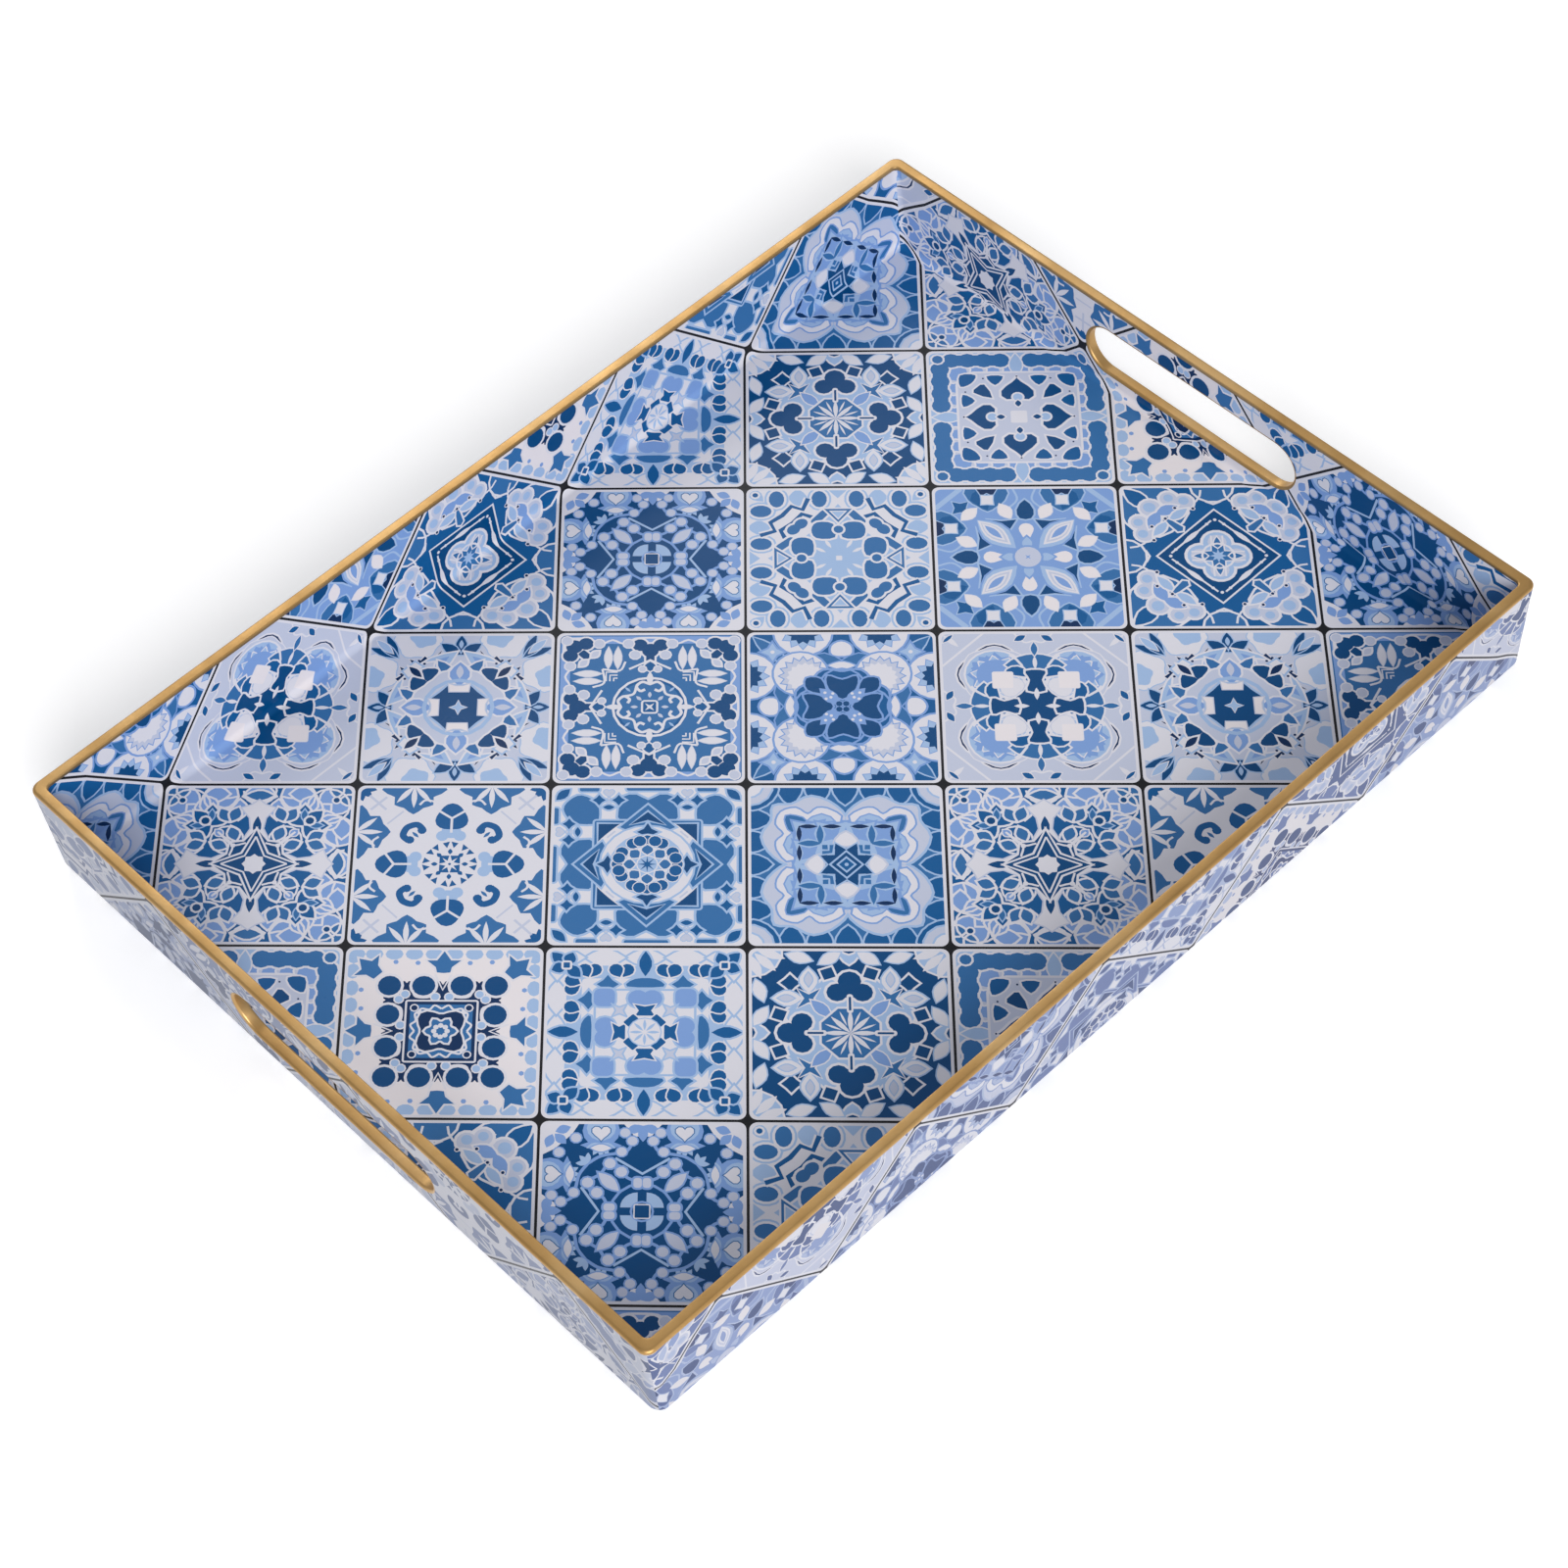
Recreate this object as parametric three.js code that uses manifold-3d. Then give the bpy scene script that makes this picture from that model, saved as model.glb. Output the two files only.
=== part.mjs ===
// A rectangular serving tray with low walls, a printed film inside and outside, a gold rim band
// and a gold-lined hand slot through each end wall.
// Millimetres. X runs along the long side, Y along the short side and +Z is up.
// The origin is under the middle of the tray, on the surface that it stands on.

import * as THREE from 'three';
import { mergeVertices } from 'three/addons/utils/BufferGeometryUtils.js';
import Module from 'manifold-3d';

// Driving dimensions.
const LENGTH = 450; // over the rim, along X
const WIDTH = 338; // over the rim, along Y
const HEIGHT = 47.5; // from the foot pads' underside to the top of the rim band
const WALL = 4.3; // whole wall with both films, at the rim
const OUTER_DRAFT = 1.3; // how far the outside leans in, from the rim to the base
const INNER_DRAFT = 1.6; // how far the inside leans in, from the rim to the floor

// Corners and edges.
const OUTER_CORNER = { rim: 4, base: 5 };
const INNER_CORNER = { rim: 2.5, floor: 5 };
const BASE_EDGE_RADIUS = 3.5;
const FLOOR_FILLET = 3;

// Layers.
const FILM = 0.4;
const GLUE = 0.1;
const RIM_THICKNESS = 1.8;
const RIM_OUTER_ROUND = 1.1;
const RIM_INNER_ROUND = 0.4;
const PAD_THICKNESS = 0.8;
const BACKING_THICKNESS = 0.5;
const BACKING_CLEARANCE = 0.3;
const CORE_FLOOR = 2.9;

// Hand slots: a long hole with half-round ends through each end wall.
const SLOT = { length: 110, height: 22, centreZ: 23 };
const LINING_THICKNESS = 1;
const LINING_CLEARANCE = 0.2;

// Foot pads.
const PAD_RADIUS = 8;
const PAD_INSET = 36;

// Fineness of the facets.
const CORNER_STEPS = 8;
const FILLET_STEPS = 5;
const SLOT_END_STEPS = 16;
const PAD_SIDES = 32;

// Heights that follow from them.
const WALL_TOP = HEIGHT - RIM_THICKNESS;
const BASE_Z = PAD_THICKNESS;
const CORE_BASE_Z = BASE_Z + BACKING_THICKNESS;
const FLOOR_Z = CORE_BASE_Z + CORE_FLOOR + GLUE + FILM;

const COLOURS = {
  core: 0xd9d9d6,
  print: 0x5c86bd,
  outerPrint: 0x7f97bf,
  gold: 0xc49a4a,
  backing: 0xe4e2dc,
  pad: 0x3a3a3c,
};

const wasm = await Module();
wasm.setup();

// One horizontal section: a rounded rectangle that lies inset from the rim's outline.
function section(inset, radius, z) {
  const centreX = LENGTH / 2 - inset - radius;
  const centreY = WIDTH / 2 - inset - radius;
  const signs = [[1, 1], [-1, 1], [-1, -1], [1, -1]];
  const points = [];
  signs.forEach(([signX, signY], quarter) => {
    for (let step = 0; step <= CORNER_STEPS; step += 1) {
      const angle = (quarter + step / CORNER_STEPS) * Math.PI / 2;
      const x = signX * centreX + radius * Math.cos(angle);
      const y = signY * centreY + radius * Math.sin(angle);
      points.push(new THREE.Vector3(x, y, z));
    }
  });
  return points;
}

// Joins sections into a closed body. With ring true, the last section joins the first one;
// otherwise the first and last sections are closed by flat faces.
function loft(sections, ring) {
  const count = sections[0].length;
  const positions = sections.flat().flatMap((point) => point.toArray());
  const triangles = [];
  const bands = ring ? sections.length : sections.length - 1;
  for (let band = 0; band < bands; band += 1) {
    const lower = band * count;
    const upper = ((band + 1) % sections.length) * count;
    for (let side = 0; side < count; side += 1) {
      const next = (side + 1) % count;
      triangles.push(lower + side, lower + next, upper + next);
      triangles.push(lower + side, upper + next, upper + side);
    }
  }
  if (!ring) {
    const last = (sections.length - 1) * count;
    for (let side = 1; side < count - 1; side += 1) {
      triangles.push(0, side + 1, side);
      triangles.push(last, last + side, last + side + 1);
    }
  }
  const geometry = new THREE.BufferGeometry();
  geometry.setAttribute('position', new THREE.Float32BufferAttribute(positions, 3));
  geometry.setIndex(triangles);
  return geometry;
}

// The outside of the wall at a depth below its outer face, from the base edge up to the wall's top.
function outerFace(depth) {
  const centreInset = OUTER_DRAFT + BASE_EDGE_RADIUS;
  const centreZ = BASE_Z + BASE_EDGE_RADIUS;
  const radius = BASE_EDGE_RADIUS - depth;
  const sections = [];
  for (let step = 0; step <= FILLET_STEPS; step += 1) {
    const angle = (1 - step / FILLET_STEPS) * Math.PI / 2;
    const inset = centreInset - radius * Math.cos(angle);
    const corner = OUTER_CORNER.base + OUTER_DRAFT - inset;
    sections.push(section(inset, corner, centreZ - radius * Math.sin(angle)));
  }
  sections.push(section(depth, OUTER_CORNER.rim - depth, WALL_TOP));
  return sections;
}

// The inside of the wall at a depth behind its inner face, from the wall's top down to the floor.
function innerFace(depth) {
  const centreInset = WALL + INNER_DRAFT + FLOOR_FILLET;
  const centreZ = FLOOR_Z + FLOOR_FILLET;
  const radius = FLOOR_FILLET + depth;
  const sections = [section(WALL - depth, INNER_CORNER.rim + depth, WALL_TOP)];
  for (let step = 0; step <= FILLET_STEPS; step += 1) {
    const angle = step / FILLET_STEPS * Math.PI / 2;
    const inset = centreInset - radius * Math.cos(angle);
    const corner = INNER_CORNER.floor + WALL + INNER_DRAFT - inset;
    sections.push(section(inset, corner, centreZ - radius * Math.sin(angle)));
  }
  return sections;
}

function toSolid(geometry) {
  const bare = geometry.clone();
  bare.deleteAttribute('normal');
  bare.deleteAttribute('uv');
  const merged = mergeVertices(bare, 1e-4);
  return new wasm.Manifold(new wasm.Mesh({
    numProp: 3,
    vertProperties: new Float32Array(merged.attributes.position.array),
    triVerts: new Uint32Array(merged.index.array),
  }));
}

function toGeometry(solid) {
  const mesh = solid.getMesh();
  const geometry = new THREE.BufferGeometry();
  geometry.setAttribute('position', new THREE.BufferAttribute(mesh.vertProperties, 3));
  geometry.setIndex(new THREE.BufferAttribute(mesh.triVerts, 1));
  return geometry;
}

// A bar with the slot's outline grown by a margin, lying along X through one end wall.
function slotBar(side, margin) {
  const radius = SLOT.height / 2 + margin;
  const straight = SLOT.length / 2 - SLOT.height / 2;
  const outline = new THREE.Shape();
  outline.absarc(straight, 0, radius, -Math.PI / 2, Math.PI / 2, false);
  outline.absarc(-straight, 0, radius, Math.PI / 2, Math.PI * 3 / 2, false);
  const depth = 6 * WALL;
  const settings = { depth, bevelEnabled: false, curveSegments: SLOT_END_STEPS };
  const bar = new THREE.ExtrudeGeometry(outline, settings);
  const alongX = new THREE.Matrix4().makeBasis(
    new THREE.Vector3(0, 1, 0),
    new THREE.Vector3(0, 0, 1),
    new THREE.Vector3(1, 0, 0),
  );
  bar.applyMatrix4(alongX);
  bar.translate(side * LENGTH / 2 - depth / 2, 0, SLOT.centreZ);
  return toSolid(bar);
}

function withSlots(geometry) {
  let solid = toSolid(geometry);
  for (const side of [-1, 1]) {
    solid = solid.subtract(slotBar(side, LINING_THICKNESS + LINING_CLEARANCE));
  }
  return toGeometry(solid);
}

// The moulded body: floor and four walls in one piece.
function trayCore() {
  const depth = FILM + GLUE;
  return withSlots(loft([...outerFace(depth), ...innerFace(depth)], false));
}

// The film that covers the floor, its fillet and the inside of the walls.
function innerPrint() {
  const back = innerFace(FILM).reverse();
  return withSlots(loft([...back, ...innerFace(0)], false));
}

// The film that covers the outside of the walls and the rounded base edge.
function outerPrint() {
  const back = outerFace(FILM).reverse();
  return withSlots(loft([...outerFace(0), ...back], true));
}

// The gold band on top of the wall, rounded at its outer edge.
function rimBand() {
  const sections = [];
  const add = (inset, z) => {
    const share = inset / WALL;
    const corner = OUTER_CORNER.rim + (INNER_CORNER.rim - OUTER_CORNER.rim) * share;
    sections.push(section(inset, corner, z));
  };
  add(0, WALL_TOP);
  for (let step = 0; step <= FILLET_STEPS; step += 1) {
    const angle = step / FILLET_STEPS * Math.PI / 2;
    const drop = RIM_OUTER_ROUND * (1 - Math.sin(angle));
    add(RIM_OUTER_ROUND * (1 - Math.cos(angle)), HEIGHT - drop);
  }
  add(WALL - RIM_INNER_ROUND, HEIGHT);
  add(WALL, HEIGHT - RIM_INNER_ROUND);
  add(WALL, WALL_TOP);
  return loft(sections, true);
}

// The gold lining of one hand slot, cut off flush with both faces of the wall.
function slotLining(side) {
  const outside = outerFace(0).slice(-2);
  const inside = innerFace(0).slice(0, 2);
  const wall = toSolid(loft([...outside, ...inside], true));
  const tube = slotBar(side, LINING_THICKNESS).subtract(slotBar(side, 0));
  return toGeometry(tube.intersect(wall));
}

// The plain sheet on the underside, inside the outer film's edge.
function basePanel() {
  const inset = OUTER_DRAFT + BASE_EDGE_RADIUS + BACKING_CLEARANCE;
  const corner = OUTER_CORNER.base - BASE_EDGE_RADIUS;
  return loft([section(inset, corner, BASE_Z), section(inset, corner, CORE_BASE_Z)], false);
}

function footPad() {
  const pad = new THREE.CylinderGeometry(PAD_RADIUS, PAD_RADIUS, PAD_THICKNESS, PAD_SIDES);
  pad.rotateX(Math.PI / 2);
  return pad;
}

const tray = new THREE.Group();

function addPiece(name, geometry, color, roughness, metalness) {
  const material = new THREE.MeshStandardMaterial({ color, roughness, metalness });
  const mesh = new THREE.Mesh(geometry, material);
  mesh.name = name;
  tray.add(mesh);
  return mesh;
}

addPiece('tray_core', trayCore(), COLOURS.core, 0.5, 0);
addPiece('inner_print', innerPrint(), COLOURS.print, 0.2, 0);
addPiece('outer_print', outerPrint(), COLOURS.outerPrint, 0.25, 0);
addPiece('rim_band', rimBand(), COLOURS.gold, 0.4, 0.8);
addPiece('slot_lining_left', slotLining(-1), COLOURS.gold, 0.4, 0.8);
addPiece('slot_lining_right', slotLining(1), COLOURS.gold, 0.4, 0.8);
addPiece('base_panel', basePanel(), COLOURS.backing, 0.6, 0);

for (const [endName, signX] of [['left', -1], ['right', 1]]) {
  for (const [sideName, signY] of [['front', -1], ['back', 1]]) {
    const pad = addPiece(`foot_pad_${endName}_${sideName}`, footPad(), COLOURS.pad, 0.9, 0);
    const x = signX * (LENGTH / 2 - PAD_INSET);
    const y = signY * (WIDTH / 2 - PAD_INSET);
    pad.position.set(x, y, PAD_THICKNESS / 2);
  }
}

export default tray;
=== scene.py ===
"""The looks of a serving tray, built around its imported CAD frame. Blender units are metres.

The printed film is real geometry: each tile pattern is drawn once, laid out on the flat film, cut
where the film folds, and then folded over the floor, the fillet and the walls.
"""

import cmath
import math

import bmesh
import bpy
from mathutils import Matrix, Vector
from mathutils.geometry import delaunay_2d_cdt


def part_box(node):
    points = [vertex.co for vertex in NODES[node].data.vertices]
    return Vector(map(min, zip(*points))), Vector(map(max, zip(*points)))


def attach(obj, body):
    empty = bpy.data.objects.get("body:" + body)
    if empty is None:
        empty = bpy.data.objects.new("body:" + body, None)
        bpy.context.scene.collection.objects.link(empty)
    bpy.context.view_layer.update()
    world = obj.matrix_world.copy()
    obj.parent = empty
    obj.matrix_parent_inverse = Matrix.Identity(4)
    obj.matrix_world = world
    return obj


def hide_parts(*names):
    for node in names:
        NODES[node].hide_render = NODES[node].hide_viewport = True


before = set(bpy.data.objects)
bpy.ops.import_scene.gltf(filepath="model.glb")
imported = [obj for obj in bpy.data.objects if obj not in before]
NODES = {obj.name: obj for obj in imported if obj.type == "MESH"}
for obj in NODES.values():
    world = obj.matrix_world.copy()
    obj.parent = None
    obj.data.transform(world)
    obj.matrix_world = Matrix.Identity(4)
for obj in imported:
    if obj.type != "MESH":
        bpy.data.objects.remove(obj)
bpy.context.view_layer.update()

MM = 0.001

# Each ink on the inner film, and its copies on the outer film's long sides and ends.
# The outer copies are darker and greyer: painted shade and a painted haze of reflected light.
INK_COLOURS = {
    "white": ((214, 213, 222), (188, 188, 196), (174, 175, 184)),
    "lavender": ((188, 194, 214), (166, 170, 188), (160, 164, 178)),
    "pale": ((156, 182, 218), (148, 158, 184), (150, 156, 174)),
    "cornflower": ((122, 155, 209), (122, 136, 172), (130, 139, 165)),
    "mid": ((50, 106, 162), (96, 109, 148), (108, 118, 146)),
    "deep": ((14, 86, 144), (78, 90, 128), (90, 100, 128)),
    "teal": ((0, 68, 120), (68, 80, 116), (84, 92, 116)),
    "navy": ((0, 42, 86), (66, 74, 108), (78, 85, 106)),
    "grout": ((24, 25, 30), (42, 42, 48), (52, 53, 58)),
    "cream": ((224, 218, 222), (190, 187, 192), (175, 174, 180)),
}
INKS = tuple(INK_COLOURS)
WHITE, LAVENDER, PALE, CORNFLOWER, MID, DEEP, TEAL, NAVY, GROUT, CREAM = range(len(INKS))

# ---------------------------------------------------------------- outlines
# A pattern is drawn in hundredths of a tile: its middle is 0, its edges are 50 away, and points are
# complex numbers with y upwards.

HUNDREDTH = 0.01
LINE = 1.1  # margin of a contour line round a shape
REACH = 48.9  # shapes are cut off here, under the joint
FRAME_STEPS = 8  # points along each side of a tile, so that its joint can bend with the film


def spin(degrees):
    return cmath.exp(1j * math.radians(degrees))


def disc(centre, radius, squash=1.0, turn=0.0, steps=14):
    """A circle, or an ellipse squashed across its own turned axis."""
    points = []
    for step in range(steps):
        angle = math.tau * step / steps
        local = complex(math.cos(angle), squash * math.sin(angle))
        points.append(centre + radius * local * spin(turn))
    return points


def lobed(centre, radius, depth, count, turn=0.0, steps=5):
    """A disc whose edge swells into round lobes; the first one points along turn."""
    points = []
    for step in range(count * steps):
        angle = 360 * step / (count * steps)
        reach = radius * (1 + depth * math.cos(math.radians(count * angle)))
        points.append(centre + reach * spin(angle + turn))
    return points


def star(centre, outer, inner, count, turn=0.0):
    points = []
    for step in range(2 * count):
        reach = inner if step % 2 else outer
        points.append(centre + reach * spin(180 * step / count + turn))
    return points


def petal(root, tip, width, peak=0.5, steps=5):
    """A leaf with two pointed ends, widest at the share peak of its length."""
    across = 1j * (tip - root) / abs(tip - root) * width / 2
    power = math.log(0.5) / math.log(peak)
    shares = [step / steps for step in range(steps + 1)]
    edge = [math.sin(math.pi * share ** power) for share in shares]
    middle = [root + (tip - root) * share for share in shares]
    right = [point - across * swell for point, swell in zip(middle, edge)]
    left = [point + across * swell for point, swell in zip(middle, edge)]
    return right + left[-2:0:-1]


def drop(root, tip, width, steps=9):
    """A tear with a pointed root and a round tip."""
    length = abs(tip - root)
    direction = (tip - root) / length
    radius = min(width / 2, 0.48 * length)
    centre = tip - direction * radius
    reach = 180 - math.degrees(math.acos(radius / (length - radius)))
    points = [root]
    for step in range(steps):
        points.append(centre + radius * direction * spin(reach * (2 * step / (steps - 1) - 1)))
    return points


def slab(centre, half_x, half_y, corner, turn=0.0, steps=3):
    """A rounded rectangle."""
    points = []
    for quarter, (sign_x, sign_y) in enumerate(((1, 1), (-1, 1), (-1, -1), (1, -1))):
        hub = complex(sign_x * (half_x - corner), sign_y * (half_y - corner))
        for step in range(steps + 1):
            points.append(hub + corner * spin(90 * (quarter + step / steps)))
    return [centre + point * spin(turn) for point in points]


def heart(centre, size, turn=0.0, steps=18):
    """A heart whose point faces away from turn; size is about half its width."""
    points = []
    for step in range(steps):
        t = math.tau * step / steps
        x = 13 * math.cos(t) - 5 * math.cos(2 * t) - 2 * math.cos(3 * t) - math.cos(4 * t)
        y = -16 * math.sin(t) ** 3
        points.append(centre + size * complex(x, y) / 16 * spin(turn))
    return points


def rounded(points, steps=3):
    """A closed smooth curve through the points."""
    count = len(points)
    result = []
    for index in range(count):
        before, start, end, after = (points[(index + shift) % count] for shift in (-1, 0, 1, 2))
        for step in range(steps):
            result.append(spline(before, start, end, after, step / steps))
    return result


def flowing(points, steps=4):
    """An open smooth curve through the points."""
    whole = [2 * points[0] - points[1], *points, 2 * points[-1] - points[-2]]
    result = []
    for index in range(1, len(whole) - 2):
        for step in range(steps):
            result.append(spline(*whole[index - 1:index + 3], step / steps))
    return result + [points[-1]]


def spline(before, start, end, after, share):
    """One point of a Catmull-Rom curve between start and end."""
    linear = (end - before) * share
    square = (2 * before - 5 * start + 4 * end - after) * share ** 2
    cube = (3 * start - 3 * end + after - before) * share ** 3
    return start + (linear + square + cube) / 2


def mirrored(points, turn=-1):
    """The points and then their mirror images: across the upright, or the diagonal if turn is 1j."""
    images = [(point, turn * point.conjugate()) for point in points[::-1]]
    return points + [image for point, image in images if image != point]


def arc(centre, radius, start, stop, steps=8):
    sweep = stop - start
    return [centre + radius * spin(start + sweep * step / steps) for step in range(steps + 1)]


def sideways(points, index):
    """The unit vector to the left of a line of points at one of them."""
    ahead = points[min(index + 1, len(points) - 1)]
    behind = points[max(index - 1, 0)]
    return 1j * (ahead - behind) / abs(ahead - behind)


def stroke(points, width):
    """A line drawn with a pen of that width."""
    half = width / 2
    left = [point + half * sideways(points, index) for index, point in enumerate(points)]
    right = [point - half * sideways(points, index) for index, point in enumerate(points)]
    return right + left[::-1]


def signed_area(outline):
    turns = zip(outline, outline[1:] + outline[:1])
    return sum((a.conjugate() * b).imag for a, b in turns) / 2


def grown(outline, margin):
    """The outline moved outwards by a margin. It runs anticlockwise."""
    count = len(outline)
    result = []
    for index, point in enumerate(outline):
        before = point - outline[index - 1]
        after = outline[(index + 1) % count] - point
        out_before = -1j * before / abs(before)
        out_after = -1j * after / abs(after)
        middle = out_before + out_after
        share = max(abs(middle) ** 2 / 2, 0.45)
        result.append(point + margin * middle / share)
    return untangled(result)


def untangled(outline):
    """The outline without the small loops that growing makes in a notch."""
    for start in range(len(outline)):
        turned = outline[start:] + outline[:start]
        for end in (4, 3, 2):
            if end + 1 < len(turned):
                meeting = crossing(turned[0], turned[1], turned[end], turned[end + 1])
                if meeting is not None:
                    return untangled([turned[0], meeting, *turned[end + 1:]])
    return outline


def crossing(start, end, other_start, other_end):
    """Where two segments cross, or None."""
    way, other_way, gap = end - start, other_end - other_start, other_start - start
    turn = (way.conjugate() * other_way).imag
    if abs(turn) < 1e-8:
        return None
    share = (gap.conjugate() * other_way).imag / turn
    other_share = (gap.conjugate() * way).imag / turn
    return start + way * share if 0 < share < 1 and 0 < other_share < 1 else None


def clipped(outline, limit):
    """What lies inside the tile's edge, cut off at one side after another."""
    for _ in range(4):
        kept = []
        for before, point in zip(outline[-1:] + outline[:-1], outline):
            if (before.real > limit) != (point.real > limit):
                share = (limit - before.real) / (point.real - before.real)
                kept.append(complex(limit, before.imag + (point.imag - before.imag) * share))
            if point.real <= limit:
                kept.append(point)
        outline = [point * 1j for point in kept]
    return [point for point, before in zip(outline, outline[-1:] + outline) if abs(point - before) > 1e-3]


class Tile:
    """A tile pattern: shapes in the order they are painted.

    The tile's symmetry repeats a shape: once in the middle, in 4 places if it lies on a mirror line,
    and else in 8.
    """

    def __init__(self, ground):
        self.shapes = []
        self.paint(ground, slab(0, 50, 50, 0, steps=1)[::2])

    def paint(self, ink, outline):
        """Adds one shape as it stands, scaled to tile units."""
        self.shapes.append((ink, [point * HUNDREDTH for point in outline]))

    def merge(self, ink, outlines, edge=None, margin=LINE, limit=REACH):
        """Paints shapes as one. With an edge ink, they first get a margin in that ink."""
        places = [place for outline in outlines for place in repeated(outline)]
        layers = [(ink, place) for place in places]
        if edge is not None:
            layers = [(edge, grown(place, margin)) for place in places] + layers
        for colour, place in layers:
            kept = clipped(place, limit)
            if len(kept) > 2:
                self.paint(colour, kept)

    def put(self, ink, outline, edge=None, margin=LINE, limit=REACH):
        self.merge(ink, [outline], edge, margin, limit)

    def line(self, ink, points, width=1.4):
        self.put(ink, stroke(points, width))

    def ring(self, ink, centre, radius, width=1.3, steps=8):
        """A circle's line, in two halves unless the tile's symmetry adds the second."""
        for start in (0, 180) if centre else (0,):
            outside = arc(centre, radius + width / 2, start, start + 180, steps)
            inside = arc(centre, radius - width / 2, start + 180, start, steps)
            self.put(ink, outside + inside)

    def dots(self, ink, radius, *places, edge=None, margin=0.7, steps=10):
        for place in places:
            self.put(ink, disc(place, radius, steps=steps), edge, margin)

    def rays(self, ink, hub, near, far, width, turns, edge=None, margin=0.7):
        """Petals that point away from a hub."""
        for turn in turns:
            self.put(ink, petal(hub + near * spin(turn), hub + far * spin(turn), width), edge, margin)

    def frame(self):
        """The off-white outline of the tile and the black joint round it."""
        steps = [100 * step / FRAME_STEPS - 50 for step in range(FRAME_STEPS + 1)]
        for ink, half, corner in ((WHITE, 47.7, 3.5), (GROUT, 49.3, 4)):
            hub = half - corner
            outer = [complex(-step, 50) for step in steps]
            inner = [complex(step, half) for step in steps[1:-1]]
            left = arc(complex(-hub, hub), corner, 135, 90, 3)
            right = arc(complex(hub, hub), corner, 90, 45, 3)
            self.put(ink, [*outer, *left, *inner, *right], limit=50)
        return self


def repeated(outline):
    """A shape's places in a tile's symmetry, each running anticlockwise."""
    near = 0.4
    if signed_area(outline) < 0:
        outline = outline[::-1]
    middle = sum(outline) / len(outline)
    across, up = abs(middle.real), abs(middle.imag)
    if max(across, up) < near:
        return [outline]
    seeds = [outline]
    if min(across, up, abs(across - up)) > near:
        seeds.append([point.conjugate() for point in outline[::-1]])
    return [[point * 1j ** quarter for point in seed] for seed in seeds for quarter in range(4)]


# ---------------------------------------------------------------- tile patterns


def petal_border():
    tile = Tile(WHITE)
    for x in (0, 20, 40):
        tile.put(WHITE, petal(x - 10 + 43.5j, x + 10 + 43.5j, 10), PALE)
    tile.put(PALE, slab(0, 38.5, 38.5, 2))
    tile.put(WHITE, slab(0, 31.2, 31.2, 2))
    for x, lean in ((7.5, 3.5), (16, -3.5), (23.5, 3.5), (31.5, -3.5)):
        tile.put(DEEP, drop(complex(x + lean, 32), complex(x, 39.5), 7), WHITE, 0.8)
    tile.put(DEEP, petal(32.5j, 47.5j, 6.5), PALE)
    for tip in (46.5 + 46.5j, 32 + 32j, 46.5 + 36j):
        tile.put(DEEP, petal(39 + 39j, tip, 6.2), PALE)
    tile.put(DEEP, slab(39 + 39j, 1.6, 1.6, 0.4), WHITE)
    tile.put(MID, rounded(mirrored([9 + 26.5j, 5 + 31j])), PALE)
    tile.put(MID, star(18.5 + 27.8j, 5.5, 3.3, 4), PALE)
    tile.put(PALE, slab(0, 25.2, 25.2, 2))
    tile.put(WHITE, slab(0, 24, 24, 2))
    tile.merge(CORNFLOWER, [disc(3.5 + 19.5j, 5)], PALE)
    tile.put(CORNFLOWER, slab(20 + 20j, 5.2, 5.2, 3), PALE)
    tile.put(PALE, star(12.5 + 12.5j, 6.5, 2.5, 4, 45))
    tile.put(LAVENDER, star(12.5 + 12.5j, 4, 1.5, 4, 45))
    tie = mirrored([5.2 + 16j, 3 + 12.5j, 4.8 + 9.5j]) + [14.8j]
    tile.put(DEEP, tie, WHITE, 0.8)
    tile.put(DEEP, slab(9.5 * spin(45), 2, 3.4, 0.6, 45), WHITE, 0.7)
    tile.put(WHITE, disc(0, 7.8, steps=16), PALE, 0.6)
    tile.rays(PALE, 0, 1, 7.5, 1.6, (90, 45))
    return tile


def trefoil_cross():
    tile = Tile(TEAL)
    tile.put(PALE, disc(48 + 48j, 15), WHITE)
    tile.rays(WHITE, 50 + 50j, 5, 20, 5, (200, 225))
    tile.put(PALE, rounded([6 + 48j, 45j, -6 + 48j, 40j]), WHITE)
    tile.put(WHITE, petal(4 + 47j, 15 + 40j, 6.5), PALE, 0.7)
    tile.put(WHITE, petal(18 + 42j, 31 + 46j, 6.5), PALE, 0.7)
    tile.put(PALE, lobed(0, 30, 0.12, 8, 22.5, 6), WHITE, 1.3)
    tile.put(TEAL, star(10.5 + 34.5j, 4.2, 3, 4, 25), WHITE)
    tile.put(TEAL, star(29 + 29j, 5, 3.3, 4, 0), WHITE)
    tile.put(WHITE, petal(20 + 23j, 20 + 38j, 9), PALE, 0.8)
    tile.put(LAVENDER, petal(20 + 27j, 20 + 35j, 3.8), PALE, 0.6)
    tile.put(MID, star(20 + 20j, 8, 2.2, 4, 45), WHITE, 0.9)
    clover = [disc(6.2 + 23.5j, 5.2, steps=12), disc(30j, 5.8, steps=12)]
    clover += [slab(25j, 4.5, 4.5, 1)]
    tile.merge(TEAL, clover, WHITE, 1.4)
    tile.put(CORNFLOWER, petal(9 + 9j, 19 + 19j, 6), WHITE, 0.7)
    tile.put(MID, star(0, 15.2, 14, 8, 22.5), WHITE, 1.2)
    tile.rays(WHITE, 0, 0, 13.5, 2.6, (90, 45))
    tile.rays(WHITE, 0, 4.5, 13.5, 1.2, (67.5,))
    tile.put(WHITE, slab(17j, 1.6, 5.5, 1.4))
    tile.put(TEAL, slab(17j, 0.6, 4, 0.5))
    return tile


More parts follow.
